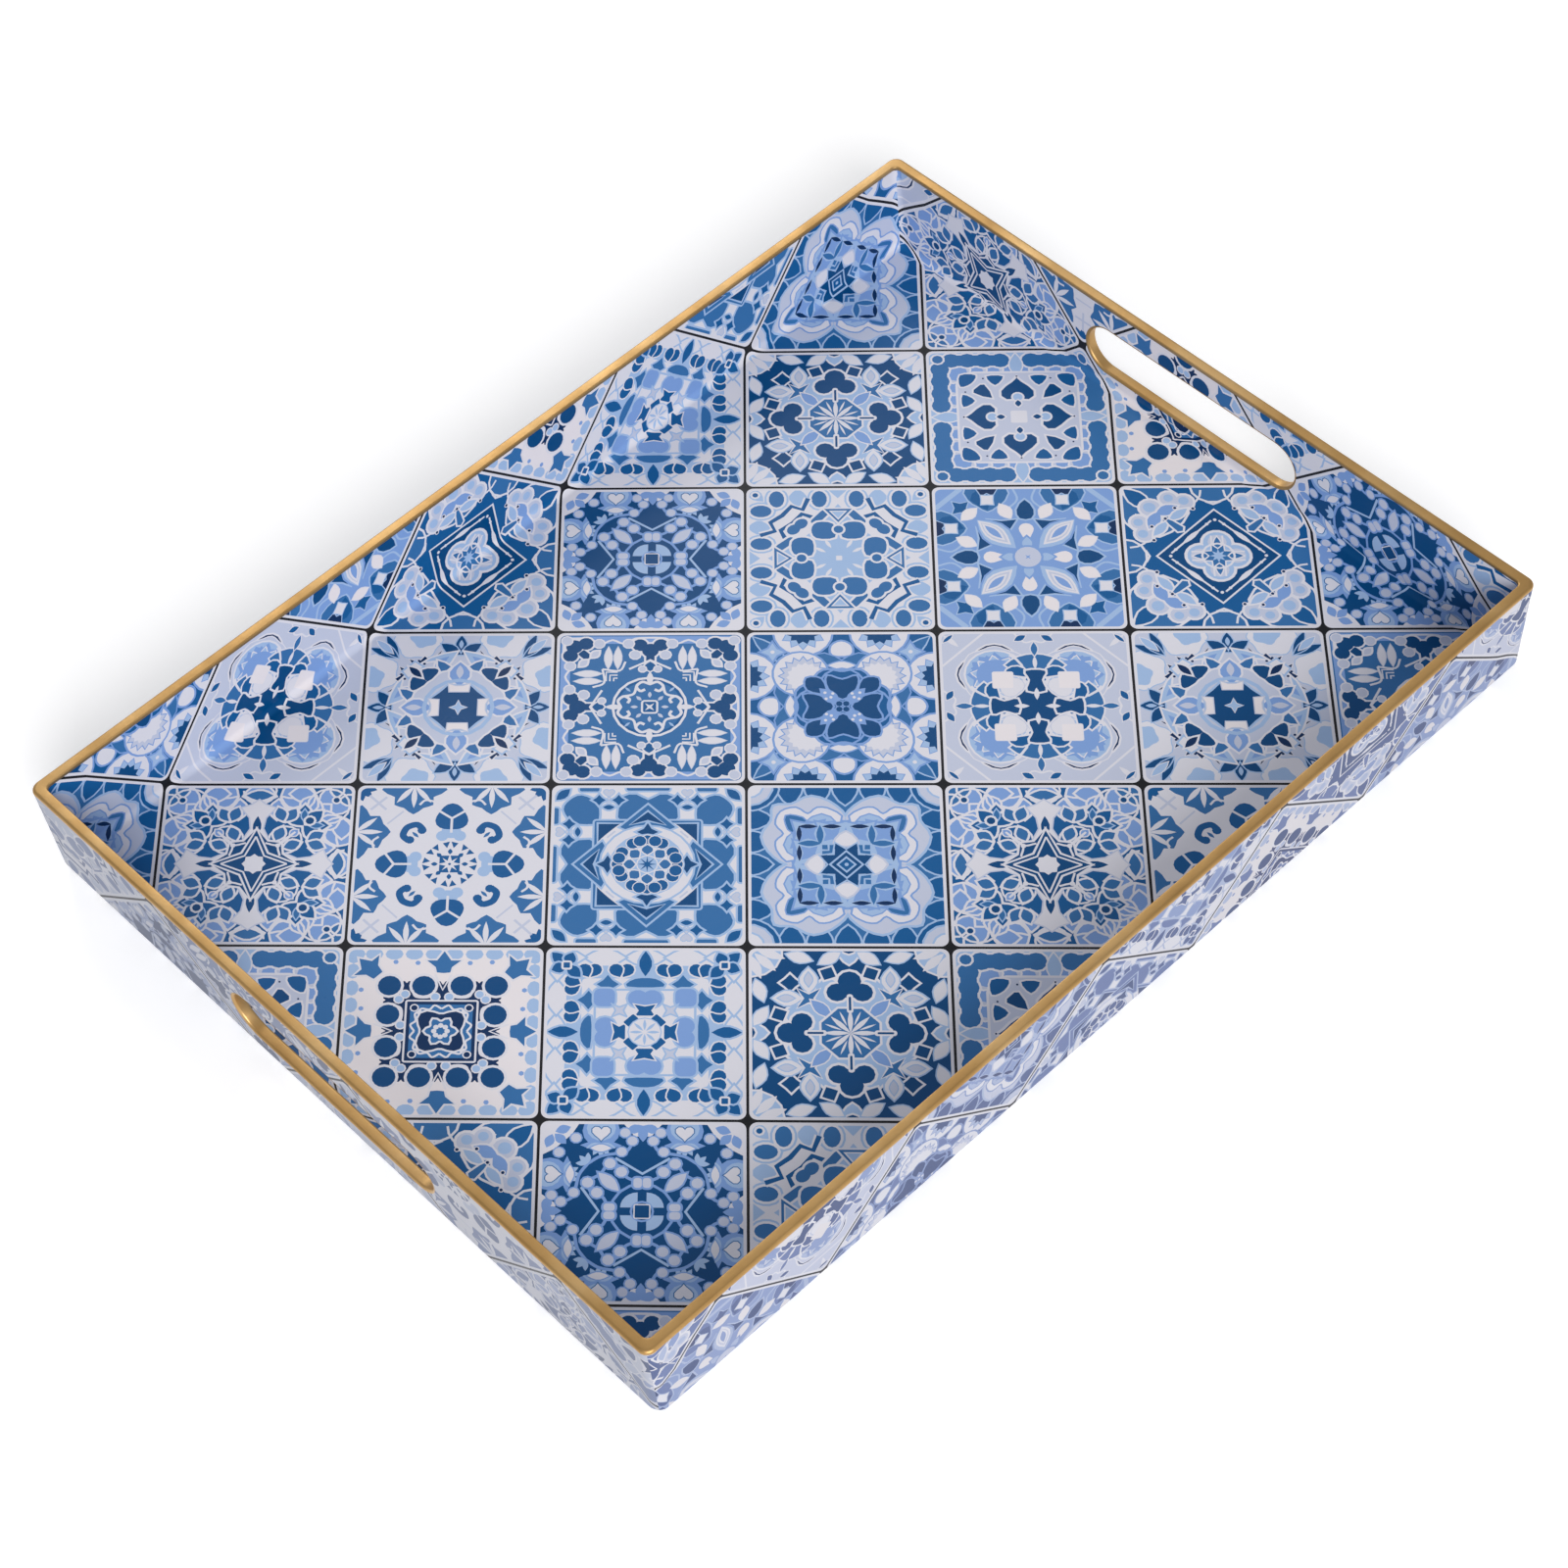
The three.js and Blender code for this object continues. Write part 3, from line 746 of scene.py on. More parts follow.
def linked_rings():
    tile = Tile(DEEP)
    tile.put(CORNFLOWER, disc(40 + 40j, 8.5, steps=16), WHITE, 1.2)
    hubs = ((27 + 27j, (45, 80, 115, 150)), (10 + 42j, (-15, 30, 165, -90)), (30 + 44j, (180, 240)))
    for hub, turns in hubs:
        tile.rays(CORNFLOWER, hub, 2, 14, 8.5, turns, WHITE, 1.2)
    tile.rays(MID, 40 + 40j, 2, 11, 6, (45, 90), WHITE, 1.2)
    tile.ring(WHITE, 20 + 42j, 9, 1.2)
    tile.ring(WHITE, 36 + 36j, 11, 1.2)
    tile.ring(WHITE, 46j, 8.5, 1.2)
    tile.rays(DEEP, 24 + 24j, 0, 13, 7.5, (0, 45, -45), WHITE, 1.3)
    tile.rays(MID, 24 + 24j, 3, 10, 3, (0,), PALE)
    tile.put(TEAL, disc(27 + 27j, 2.2, steps=9), WHITE, 1.2)
    tile.put(TEAL, disc(40 + 40j, 1.6, steps=9), WHITE, 1)
    tile.put(MID, petal(-7 + 43j, 7 + 43j, 6), WHITE, 1.2)
    tile.rays(MID, 14 + 25j, 2, 11, 6, (60, 110, -110), WHITE, 1.2)
    tile.ring(WHITE, 15 + 15j, 8.5, 1.1)
    tile.rays(CORNFLOWER, 16 + 16j, 2, 7.5, 4, (45,), WHITE)
    arm = mirrored([6 + 16j, 3 + 22j, 4 + 29j, 8.5 + 35j, 3.5 + 37j, 40j])
    tile.put(WHITE, arm, LAVENDER, 0.8)
    tile.put(TEAL, petal(17j, 30j, 4.5))
    tile.put(TEAL, [22j, 6 + 14j, 13 + 13j, 14 + 6j, 22, 10, 10j], WHITE, 1.2)
    tile.put(TEAL, star(0, 21, 9, 4), WHITE, 1.2)
    tile.line(WHITE, [17j, 5 + 5j, 17], 1)
    tile.line(WHITE, flowing([20 + 20j, 12 + 12j, 5 + 13j]), 1.1)
    tile.dots(WHITE, 1.4, 11.5 + 11.5j, steps=8)
    tile.put(WHITE, star(0, 6.2, 5, 8))
    return tile


def corner_palmettes():
    tile = Tile(WHITE)
    leafy = [4.5 + 49j, 6 + 44j, 10 + 42j, 10 + 37j, 15 + 35j, 20 + 31j]
    leafy += [40 - point.conjugate() for point in leafy[4::-1]]
    tile.put(MID, rounded(leafy, 2))
    tile.rays(WHITE, 20 + 49j, 0, 14, 3, (-90, -50, -130))
    tile.line(WHITE, flowing([9 + 39j, 14 + 40j, 17 + 37j]), 1.2)
    tile.rays(DEEP, 49 + 49j, 0, 10, 5, (225, 195))
    tile.line(LAVENDER, [34 + 42j, 42 + 34j], 1.4)
    tile.line(LAVENDER, [34 + 34j, 43 + 43j], 1.4)
    tile.line(LAVENDER, [29 + 29j, 25 + 33j], 1)
    tile.merge(PALE, [disc(21j, 5), disc(4.5 + 17.5j, 3.2)])
    tile.put(DEEP, lobed(29j, 8.2, 0.1, 3, 90, 7))
    for turn in (-90, 35, 145):
        tile.line(WHITE, [28.5j, 28.5j + 9 * spin(turn)], 1.3)
    comma = mirrored([14.5 + 21.5j, 17.5 + 24.5j, 21.5 + 23.5j], 1j)
    tile.line(DEEP, flowing(comma), 3.6)
    tile.dots(DEEP, 2.4, 15 + 21j, steps=9)
    tile.put(MID, petal(16.5 + 16.5j, 20 + 20j, 1.8))
    for lean in (-13, 13):
        root = 10 * spin(67.5 + lean)
        tile.put(DEEP, [root, 13.5 * spin(67.5 + lean - 8), 14 * spin(67.5 + lean + 8)])
    tile.rays(DEEP, 0, 6, 9.5, 2.4, (90, 45))
    tile.put(DEEP, slab(0, 5.2, 5.2, 1))
    tile.put(WHITE, star(0, 6.2, 1.8, 4))
    tile.put(WHITE, star(0, 5.4, 1.3, 4, 45))
    tile.put(DEEP, disc(0, 0.8, steps=6))
    return tile


# The patchwork: one row of patterns above the other, repeated in both directions.
PATCHWORK = (
    (petal_border, trefoil_cross, spade_garden, disc_medallion),
    (bead_lattice, oval_zigzag, eight_petals, quatrefoil_frame),
    (leaf_scrolls, fan_rosette, four_moons, woven_star),
    (lobed_blocks, nested_arches, linked_rings, corner_palmettes),
)

# ---------------------------------------------------------------- the tray's faces, in millimetres

RIM_LOW, RIM_HIGH = (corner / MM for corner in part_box("rim_band"))
HALF_LENGTH, HALF_WIDTH = RIM_HIGH.x, RIM_HIGH.y
WALL_TOP, RIM_TOP = RIM_LOW.z, RIM_HIGH.z
BASE_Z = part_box("outer_print")[0].z / MM
SLOT_BOX = [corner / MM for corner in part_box("slot_lining_right")]

# As in the CAD model.
WALL = 4.3
FILM = 0.4
FLOOR_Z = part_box("inner_print")[0].z / MM + FILM
OUTER_DRAFT, INNER_DRAFT = 1.3, 1.6
OUTER_CORNER = {"rim": 4.0, "base": 5.0}
INNER_CORNER = {"rim": 2.5, "floor": 5.0}
BASE_EDGE_RADIUS, FLOOR_FILLET = 3.5, 3.0
LINING = 1.0

INK_LIFT = 0.05  # the ink lies on the film
WRINKLE, WRINKLE_REACH = 2.6, 13.0  # size of the outer film's wrinkles, and how far they spread
FOLD_STEPS = 5
GATHER = 12.0  # the film is stretched round a corner over this length
GATHER_CUTS = (0.5, 1.0, 1.6, 2.3, 3.2, 4.4, 6.0, 8.0, GATHER)
HOLE_GROWTH = LINING + 0.1  # the ink ends this far outside a hand slot's opening

FLOOR_HALF = tuple(half - WALL - INNER_DRAFT - FLOOR_FILLET for half in (HALF_LENGTH, HALF_WIDTH))
FLOOR_ARC = FLOOR_FILLET * math.pi / 2
BASE_ARC = BASE_EDGE_RADIUS * math.pi / 2
INNER_RISE = WALL_TOP - FLOOR_Z - FLOOR_FILLET
OUTER_RISE = WALL_TOP - BASE_Z - BASE_EDGE_RADIUS
INNER_SPAN = FLOOR_ARC + math.hypot(INNER_RISE, INNER_DRAFT)
OUTER_SPAN = BASE_ARC + math.hypot(OUTER_RISE, OUTER_DRAFT)

# The end walls' film is tucked into the fillet and stretched up the wall.
END_TUCK = 8.1 / FLOOR_ARC
END_STRETCH = 1.09


def mix(start, end, share):
    return start + (end - start) * share


def inside_face(distance):
    """The inside of the wall at a distance from the floor's crease: inset, height, corner, tilt."""
    if distance <= FLOOR_ARC:
        tilt = distance / FLOOR_FILLET
        reach = FLOOR_FILLET * math.sin(tilt)
        inset = WALL + INNER_DRAFT + FLOOR_FILLET - reach
        height = FLOOR_Z + FLOOR_FILLET * (1 - math.cos(tilt))
        return inset, height, INNER_CORNER["floor"] - FLOOR_FILLET + reach, tilt
    share = (distance - FLOOR_ARC) / (INNER_SPAN - FLOOR_ARC)
    inset = WALL + INNER_DRAFT * (1 - share)
    height = FLOOR_Z + FLOOR_FILLET + INNER_RISE * share
    corner = mix(INNER_CORNER["floor"], INNER_CORNER["rim"], share)
    return inset, height, corner, math.pi / 2 - math.atan2(INNER_DRAFT, INNER_RISE)


def outside_face(distance):
    """The outside of the wall at a distance up from the underside's edge."""
    if distance <= BASE_ARC:
        tilt = distance / BASE_EDGE_RADIUS
        reach = BASE_EDGE_RADIUS * math.sin(tilt)
        inset = OUTER_DRAFT + BASE_EDGE_RADIUS - reach
        height = BASE_Z + BASE_EDGE_RADIUS * (1 - math.cos(tilt))
        return inset, height, OUTER_CORNER["base"] - BASE_EDGE_RADIUS + reach, tilt
    share = (distance - BASE_ARC) / (OUTER_SPAN - BASE_ARC)
    inset = OUTER_DRAFT * (1 - share)
    height = BASE_Z + BASE_EDGE_RADIUS + OUTER_RISE * share
    return inset, height, mix(OUTER_CORNER["base"], OUTER_CORNER["rim"], share), math.pi / 2


def half_sizes(side):
    """Half the tray's size across one side's wall and along it. Sides: right, back, left, front."""
    return (HALF_LENGTH, HALF_WIDTH) if side % 2 == 0 else (HALF_WIDTH, HALF_LENGTH)


def round_the_wall(side, along, inset, corner):
    """A place on a level outline of the tray, and the way out from it, as complex numbers."""
    across, half = (size - inset for size in half_sizes(side))
    out = 1j ** side
    straight = half - corner
    bend = max(0.0, abs(along) - straight) / corner
    sign = math.copysign(1, along)
    sideways_reach = sign * (min(abs(along), straight) + corner * math.sin(bend))
    outward_reach = across - corner * (1 - math.cos(bend))
    way = out * cmath.exp(1j * sign * bend)
    return out * complex(outward_reach, sideways_reach), way


def gathered(along, flat_half, side, inset, corner):
    """Stretches the last stretch of the flat film so that it ends in the middle of the corner."""
    target = half_sizes(side)[1] - inset - corner * (1 - math.pi / 4)
    start = flat_half - GATHER
    if abs(along) <= start:
        return along
    share = (abs(along) - start) / GATHER
    return math.copysign(mix(start, target, share), along)


def on_inner_film(flat):
    """Folds a point of the flat film over floor, fillet and wall. Gives its place and normal."""
    over_x, over_y = abs(flat.real) - FLOOR_HALF[0], abs(flat.imag) - FLOOR_HALF[1]
    if max(over_x, over_y) < -1e-4:
        return floor_point(flat), Vector((0, 0, 1))
    if over_y > over_x:
        side = 1 if flat.imag > 0 else 3
        along = -flat.real if side == 1 else flat.real
        distance, flat_half = over_y, FLOOR_HALF[0]
    else:
        side = 0 if flat.real > 0 else 2
        along = flat.imag if side == 0 else -flat.imag
        distance, flat_half = end_distance(over_x), FLOOR_HALF[1]
    inset, height, corner, tilt = inside_face(max(0.0, distance))
    along = gathered(along, flat_half, side, inset, corner)
    place, out = round_the_wall(side, along, inset, corner)
    normal = Vector((-out.real * math.sin(tilt), -out.imag * math.sin(tilt), math.cos(tilt)))
    return Vector((place.real, place.imag, height)), normal


def floor_point(flat):
    """A point of the floor, pulled in where the floor's corner is round."""
    corner = INNER_CORNER["floor"] - FLOOR_FILLET
    hub_x, hub_y = (half - corner for half in FLOOR_HALF)
    reach = complex(max(0.0, abs(flat.real) - hub_x), max(0.0, abs(flat.imag) - hub_y))
    if reach.real > 0 and reach.imag > 0 and abs(reach) > corner:
        reach *= corner / abs(reach)
        x = math.copysign(hub_x + reach.real, flat.real)
        y = math.copysign(hub_y + reach.imag, flat.imag)
        return Vector((x, y, FLOOR_Z))
    return Vector((flat.real, flat.imag, FLOOR_Z))


def end_distance(over):
    """Distance up an end wall's face for a flat distance past the crease."""
    tuck = FLOOR_ARC * END_TUCK
    return over / END_TUCK if over < tuck else FLOOR_ARC + (over - tuck) * END_STRETCH


def end_overshoot(distance):
    """The flat distance past the crease for a distance up an end wall's face."""
    if distance < FLOOR_ARC:
        return distance * END_TUCK
    return FLOOR_ARC * END_TUCK + (distance - FLOOR_ARC) / END_STRETCH


def on_outer_film(side, flat):
    """Folds a point of one outer wall's film: real is along the wall, imaginary is up it."""
    inset, height, corner, tilt = outside_face(max(0.0, flat.imag))
    along = gathered(flat.real, outer_half(side), side, inset, corner)
    place, out = round_the_wall(side, along, inset, corner)
    normal = Vector((out.real * math.sin(tilt), out.imag * math.sin(tilt), -math.cos(tilt)))
    return Vector((place.real, place.imag, height)), normal


def outer_half(side):
    """Half the flat length of one outer wall's film."""
    return half_sizes(side)[1] - OUTER_CORNER["rim"] * (1 - math.pi / 4)


# ---------------------------------------------------------------- the printed film


class Lattice:
    """Where the tiles lie on a flat film: one tile's right and up, and the middle of one cell."""

    def __init__(self, right, up, row, column, middle):
        self.right, self.up = right, up
        self.row, self.column, self.middle = row, column, middle

    def centre(self, row, column):
        return self.middle + (column - self.column) * self.right - (row - self.row) * self.up

    def place(self, row, column, point):
        return self.centre(row, column) + point.real * self.right + point.imag * self.up

    def tile_point(self, row, column, flat):
        """The place of a point of the film in the units of one tile."""
        away = flat - self.centre(row, column)
        area = (self.right.conjugate() * self.up).imag
        return complex((away.conjugate() * self.up).imag, (self.right.conjugate() * away).imag) / area

    def cells(self, low, high):
        """The cells that can reach into a rectangle of the film."""
        reach_x = abs(self.right.real) + abs(self.up.real)
        reach_y = abs(self.right.imag) + abs(self.up.imag)
        margin = complex(reach_x, reach_y) / 2
        low, high = low - margin, high + margin
        for row in range(self.row - 9, self.row + 10):
            for column in range(self.column - 9, self.column + 10):
                centre = self.centre(row, column)
                if low.real < centre.real < high.real and low.imag < centre.imag < high.imag:
                    yield row, column


def triangulated(shapes, hole=None):
    """Cuts painted shapes into triangles that don't overlap, each with the topmost ink."""
    outlines = [outline for ink, outline in shapes]
    if hole is not None:
        outlines.append(hole)
    points, faces = [], []
    for outline in outlines:
        faces.append(list(range(len(points), len(points) + len(outline))))
        points += [Vector((point.real, point.imag)) for point in outline]
    spots, _, triangles, _, _, owners = delaunay_2d_cdt(points, [], faces, 1, 1e-4, True)
    inks = {}
    for triangle, owner in zip(triangles, owners):
        top = max(owner, default=0)
        if 0 in owner and top < len(shapes):
            for start, end in zip(triangle, triangle[1:] + triangle[:1]):
                inks[start, end] = shapes[top][0]
    return without_hidden_lines(spots, inks)


def without_hidden_lines(spots, inks):
    """Triangulates again with only the lines where the ink changes.

    The key of inks is a triangle's side, in its anticlockwise direction.
    """
    borders = {side: ink for side, ink in inks.items() if inks.get(side[::-1]) != ink}
    used = sorted({spot for side in borders for spot in side})
    number = {spot: index for index, spot in enumerate(used)}
    lines = [(number[start], number[end]) for start, end in borders]
    result = delaunay_2d_cdt([spots[spot] for spot in used], lines, [], 0, 1e-5, True)
    points, _, triangles, origins = result[:4]
    back = [used[origin[0]] for origin in origins]
    sides, found = {}, {}
    for index, triangle in enumerate(triangles):
        corners = [back[corner] for corner in triangle]
        for side in zip(corners, corners[1:] + corners[:1]):
            sides[side] = index
            if side in borders:
                found[index] = borders[side]
    queue = list(found)
    for index in queue:
        corners = [back[corner] for corner in triangles[index]]
        for start, end in zip(corners, corners[1:] + corners[:1]):
            neighbour = sides.get((end, start))
            crossable = (start, end) not in borders and (end, start) not in borders
            if crossable and neighbour is not None and neighbour not in found:
                found[neighbour] = found[index]
                queue.append(neighbour)
    return [complex(*point) for point in points], [(triangles[index], ink) for index, ink in found.items()]


DRAWN = {}


def tile_triangles(row, column, hole=None):
    """The triangles of the pattern that belongs in a cell."""
    draw = PATCHWORK[row % len(PATCHWORK)][(column + 1) % len(PATCHWORK[0])]
    if draw not in DRAWN:
        shapes = draw().frame().shapes
        DRAWN[draw] = (shapes, triangulated(shapes))
    shapes, plain = DRAWN[draw]
    return plain if hole is None else triangulated(shapes, hole)


def slot_outline(growth, steps=14):
    """The hand slot's outline in an end wall, grown: real is along Y, imaginary is the height."""
    low, high = SLOT_BOX
    radius = (high.z - low.z) / 2 - LINING
    straight = high.y - LINING - radius
    middle = (high.z + low.z) / 2
    right = arc(complex(straight, middle), radius + growth, -90, 90, steps)
    left = arc(complex(-straight, middle), radius + growth, 90, 270, steps)
    return right + left


def lay_tiles(film, lattice, low, high, holes, warp=None, first_ink=0):
    """Lays the tiles of one lattice flat over a rectangle of film and cuts them to its edges."""
    vertices, faces = [], []
    for row, column in lattice.cells(low, high):
        points, triangles = tile_triangles(row, column, cell_hole(lattice, row, column, holes))
        first = len(vertices)
        for point in points:
            flat = lattice.place(row, column, point)
            vertices.append(warp(flat) if warp else flat)
        faces += [([first + corner for corner in triangle], ink + first_ink) for triangle, ink in triangles]
    made = [film.verts.new((flat.real, flat.imag, 0)) for flat in vertices]
    for corners, ink in faces:
        face = film.faces.new([made[corner] for corner in corners])
        face.material_index = ink
    bmesh.ops.remove_doubles(film, verts=made, dist=1e-3)
    for spot, way in ((low, -1), (low, -1j), (high, 1), (high, 1j)):
        cut(film, spot, way, clear=True)


def cell_hole(lattice, row, column, holes):
    """The hole that reaches into a cell, in the units of its tile, or None."""
    for outline in holes:
        spots = [lattice.tile_point(row, column, point) for point in dense(outline)]
        if any(max(abs(spot.real), abs(spot.imag)) < 0.5 for spot in spots):
            hole = [lattice.tile_point(row, column, point) for point in outline]
            return hole if signed_area(hole) > 0 else hole[::-1]
    return None


def dense(outline, step=4.0):
    """The outline's points with more of them along its straight stretches."""
    points = []
    for start, end in zip(outline, outline[1:] + outline[:1]):
        count = max(1, math.ceil(abs(end - start) / step))
        points += [mix(start, end, index / count) for index in range(count)]
    return points


def past(face, corner):
    """Whether a face of the flat film lies past a corner both ways."""
    middle = face.calc_center_median()
    return abs(middle.x) > corner.real and abs(middle.y) > corner.imag


def cut(film, spot, way, clear=False, beyond=None):
    """Cuts the flat film along a straight line, and can take away what lies on its far side.

    With beyond, only the faces past that corner are cut.
    """
    verts, edges, faces = film.verts, film.edges, film.faces
    if beyond is not None:
        faces = [face for face in faces if past(face, beyond)]
        edges = dict.fromkeys(edge for face in faces for edge in face.edges)
        verts = dict.fromkeys(vert for face in faces for vert in face.verts)
    bmesh.ops.bisect_plane(
        film,
        geom=[*verts, *edges, *faces],
        dist=1e-4,
        plane_co=(spot.real, spot.imag, 0),
        plane_no=(way.real, way.imag, 0),
        clear_outer=clear,
    )


def finish_film(name, film, folded, materials):
    """Folds the flat film, lifts it off its backing and makes it a piece of the tray."""
    normals = []
    for vert in film.verts:
        place, normal = folded(vert)
        vert.co = (place + normal * INK_LIFT) * MM
        normals.append(normal)
    mesh = bpy.data.meshes.new(name)
    film.to_mesh(mesh)
    film.free()
    mesh.shade_smooth()
    mesh.normals_split_custom_set_from_vertices(normals)
    for material in materials:
        mesh.materials.append(material)
    add_piece(name, mesh)


def add_piece(name, mesh):
    """Makes a mesh a piece of the tray's body."""
    piece = bpy.data.objects.new(name, mesh)
    bpy.context.scene.collection.objects.link(piece)
    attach(piece, "root")
    return piece


# The floor's tiles stand on their corners, a little wider than they are deep.
FLOOR_LATTICE = Lattice(74.2 * spin(-46.6), 74.5 * spin(46.8), 3, 0, -21.8 - 51.2j)

# The film outside was laid the other way round: tight along the long walls, drawn out at the ends.
LONG_RIGHT, LONG_UP = -46.3 + 42.5j, -46.3 - 42.5j
END_RIGHT, END_UP = -55.5 + 52j, -55.5 - 52j
OUTER_LATTICES = (
    Lattice(END_RIGHT, END_UP, 2, 1, 28 + 6j),
    Lattice(LONG_RIGHT, LONG_UP, 1, 2, -40 + 47.2j),
    Lattice(END_RIGHT, END_UP, 1, 3, -97 - 5j),
    Lattice(LONG_RIGHT, LONG_UP, 3, 0, -54 + 47.2j),
)


def split_polygons(film):
    """Cuts faces with more than four corners into triangles."""
    bmesh.ops.triangulate(film, faces=[face for face in film.faces if len(face.verts) > 4])


def inner_hole(side):
    """A hand slot's outline on the flat inner film."""
    points = []
    for point in slot_outline(HOLE_GROWTH):
        rise = (point.imag - FLOOR_Z - FLOOR_FILLET) / INNER_RISE
        over = end_overshoot(mix(FLOOR_ARC, INNER_SPAN, rise))
        points.append(complex(side * (FLOOR_HALF[0] + over), point.real))
    return points


def crease_inner_film(film, corner):
    """Cuts the flat film where it folds and gathers, and takes away its four empty corners."""
    for sign in (-1, 1):
        for step in range(FOLD_STEPS + 1):
            distance = FLOOR_ARC * step / FOLD_STEPS
            cut(film, sign * (corner.real + end_overshoot(distance)), sign)
            cut(film, sign * 1j * (corner.imag + distance), sign * 1j)
    empty = [face for face in film.faces if past(face, corner)]
    bmesh.ops.delete(film, geom=empty, context="FACES")
    for sign in (-1, 1):
        for back in GATHER_CUTS:
            cut(film, sign * (corner.real - back), sign, beyond=corner - 2 * GATHER)
            cut(film, sign * 1j * (corner.imag - back), sign * 1j, beyond=corner - 2j * GATHER)


def inner_artwork(materials):
    """The print on the floor, its fillet and the inside of the walls."""
    def folded(vert):
        return on_inner_film(complex(vert.co.x, vert.co.y))

    film = bmesh.new()
    corner = complex(*FLOOR_HALF)
    high = corner + complex(end_overshoot(INNER_SPAN), INNER_SPAN)
    lay_tiles(film, FLOOR_LATTICE, -high, high, [inner_hole(side) for side in (-1, 1)])
    crease_inner_film(film, corner)
    split_polygons(film)
    finish_film("inner_artwork", film, folded, materials)


def swirled(flat, half):
    """Wrinkles the outer film where it is drawn together at a corner."""
    away = max(0.0, half + 2 - abs(flat.real))
    near = math.exp(-(away / WRINKLE_REACH) ** 2)
    across = math.sin(flat.imag / 4.2 + flat.real / 9)
    up = 0.8 * math.sin(flat.real / 3.1 + flat.imag / 7)
    return flat + WRINKLE * near * complex(across, up)


def outer_distance(height):
    """Distance up an outer wall's face for a height on its straight part."""
    return mix(BASE_ARC, OUTER_SPAN, (height - BASE_Z - BASE_EDGE_RADIUS) / OUTER_RISE)


def outer_sheet(side, lattice):
    """One outer wall's print as a flat mesh: real is along the wall, imaginary is up it."""
    half = outer_half(side)
    holes, first_ink = [], 0
    if side % 2 == 0:
        holes = [[complex(point.real, outer_distance(point.imag)) for point in slot_outline(HOLE_GROWTH)]]
        first_ink = len(INKS)
    low, high = complex(-half, 0), complex(half, OUTER_SPAN)
    sheet = bmesh.new()
    lay_tiles(sheet, lattice, low, high, holes, lambda flat: swirled(flat, half), first_ink)
    for step in range(1, FOLD_STEPS + 1):
        cut(sheet, 1j * BASE_ARC * step / FOLD_STEPS, 1j)
    for sign in (-1, 1):
        for back in GATHER_CUTS:
            cut(sheet, sign * (half - back), sign)
    split_polygons(sheet)
    mesh = bpy.data.meshes.new("outer_sheet")
    sheet.to_mesh(mesh)
    sheet.free()
    return mesh


def outer_artwork(materials):
    """The print on the outside of the four walls."""
    def folded(vert):
        return on_outer_film(vert[walls], complex(vert.co.x, vert.co.y))

    film = bmesh.new()
    walls = film.verts.layers.int.new("wall")
    for side, lattice in enumerate(OUTER_LATTICES):
        sheet = outer_sheet(side, lattice)
        known = len(film.verts)
        film.from_mesh(sheet)
        bpy.data.meshes.remove(sheet)
        film.verts.ensure_lookup_table()
        for vert in film.verts[known:]:
            vert[walls] = side
    finish_film("outer_artwork", film, folded, materials)


# ---------------------------------------------------------------- gold trim and pads

GOLD_LIFT = 0.12  # the gold stands this far out of the film
RIM_OUTER_ROUND, RIM_INNER_ROUND = 1.25, 0.5
RIM_DIP = 0.04  # the top sinks a little along its middle
RIM_GAP, RIM_LIP_GAP = 0.02, 0.05  # the band's underside and lips clear the wall's top
LINING_LIP, LINING_ROUND = 1.2, 1.1
LINING_DEPTH = 0.6  # the lining's back ends this far inside the wall
PAD_STEPS = 48
PAD_EDGE = 0.35


def quarter_turn(steps):
    """Sines and cosines over a quarter turn."""
    angles = [math.pi / 2 * step / steps for step in range(steps + 1)]
    return [(math.sin(angle), math.cos(angle)) for angle in angles]


def ring_mesh(name, loops):
    """A closed ring of quads through loops of points, the last loop joined to the first."""
    count = len(loops[0])
    points = [point * MM for loop in loops for point in loop]
    faces = []
    for band in range(len(loops)):
        lower, upper = band * count, (band + 1) % len(loops) * count
        for index in range(count):
            after = (index + 1) % count
            faces.append((lower + index, lower + after, upper + after, upper + index))
    mesh = bpy.data.meshes.new(name)
    mesh.from_pydata(points, [], faces)
    mesh.shade_smooth()
    return mesh


def outline_loop(inset, height, corner, steps=14, spacing=12):
    """A level rounded rectangle round the tray as a loop of points."""
    loop = []
    for side in range(4):
        half = half_sizes(side)[1] - inset
        end = half - corner + corner * math.pi / 4
        straight = half - corner
        stops = [straight * (2 * step / spacing - 1) for step in range(spacing + 1)]
        bends = [straight + (end - straight) * step / steps for step in range(1, steps)]
        for along in [-bend for bend in reversed(bends)] + stops + bends + [end]:
            place, _ = round_the_wall(side, along, inset, corner)
            loop.append(Vector((place.real, place.imag, height)))
    return loop


def rim_profile():
    """The rim band's section as inset and height: round outside, nearly flat on top, round inside."""
    points = [(0.5, WALL_TOP + RIM_GAP), (0.05 - GOLD_LIFT, WALL_TOP + RIM_LIP_GAP)]
    for sine, cosine in quarter_turn(8):
        inset = RIM_OUTER_ROUND * (1 - cosine) - GOLD_LIFT
        points.append((inset, RIM_TOP - RIM_OUTER_ROUND * (1 - sine)))
    points.append((WALL / 2, RIM_TOP - RIM_DIP))
    for sine, cosine in quarter_turn(6):
        inset = WALL - RIM_INNER_ROUND * (1 - sine) + GOLD_LIFT
        points.append((inset, RIM_TOP - RIM_INNER_ROUND * (1 - cosine)))
    return points + [(WALL + GOLD_LIFT, WALL_TOP + RIM_LIP_GAP), (WALL - 0.4, WALL_TOP + RIM_GAP)]


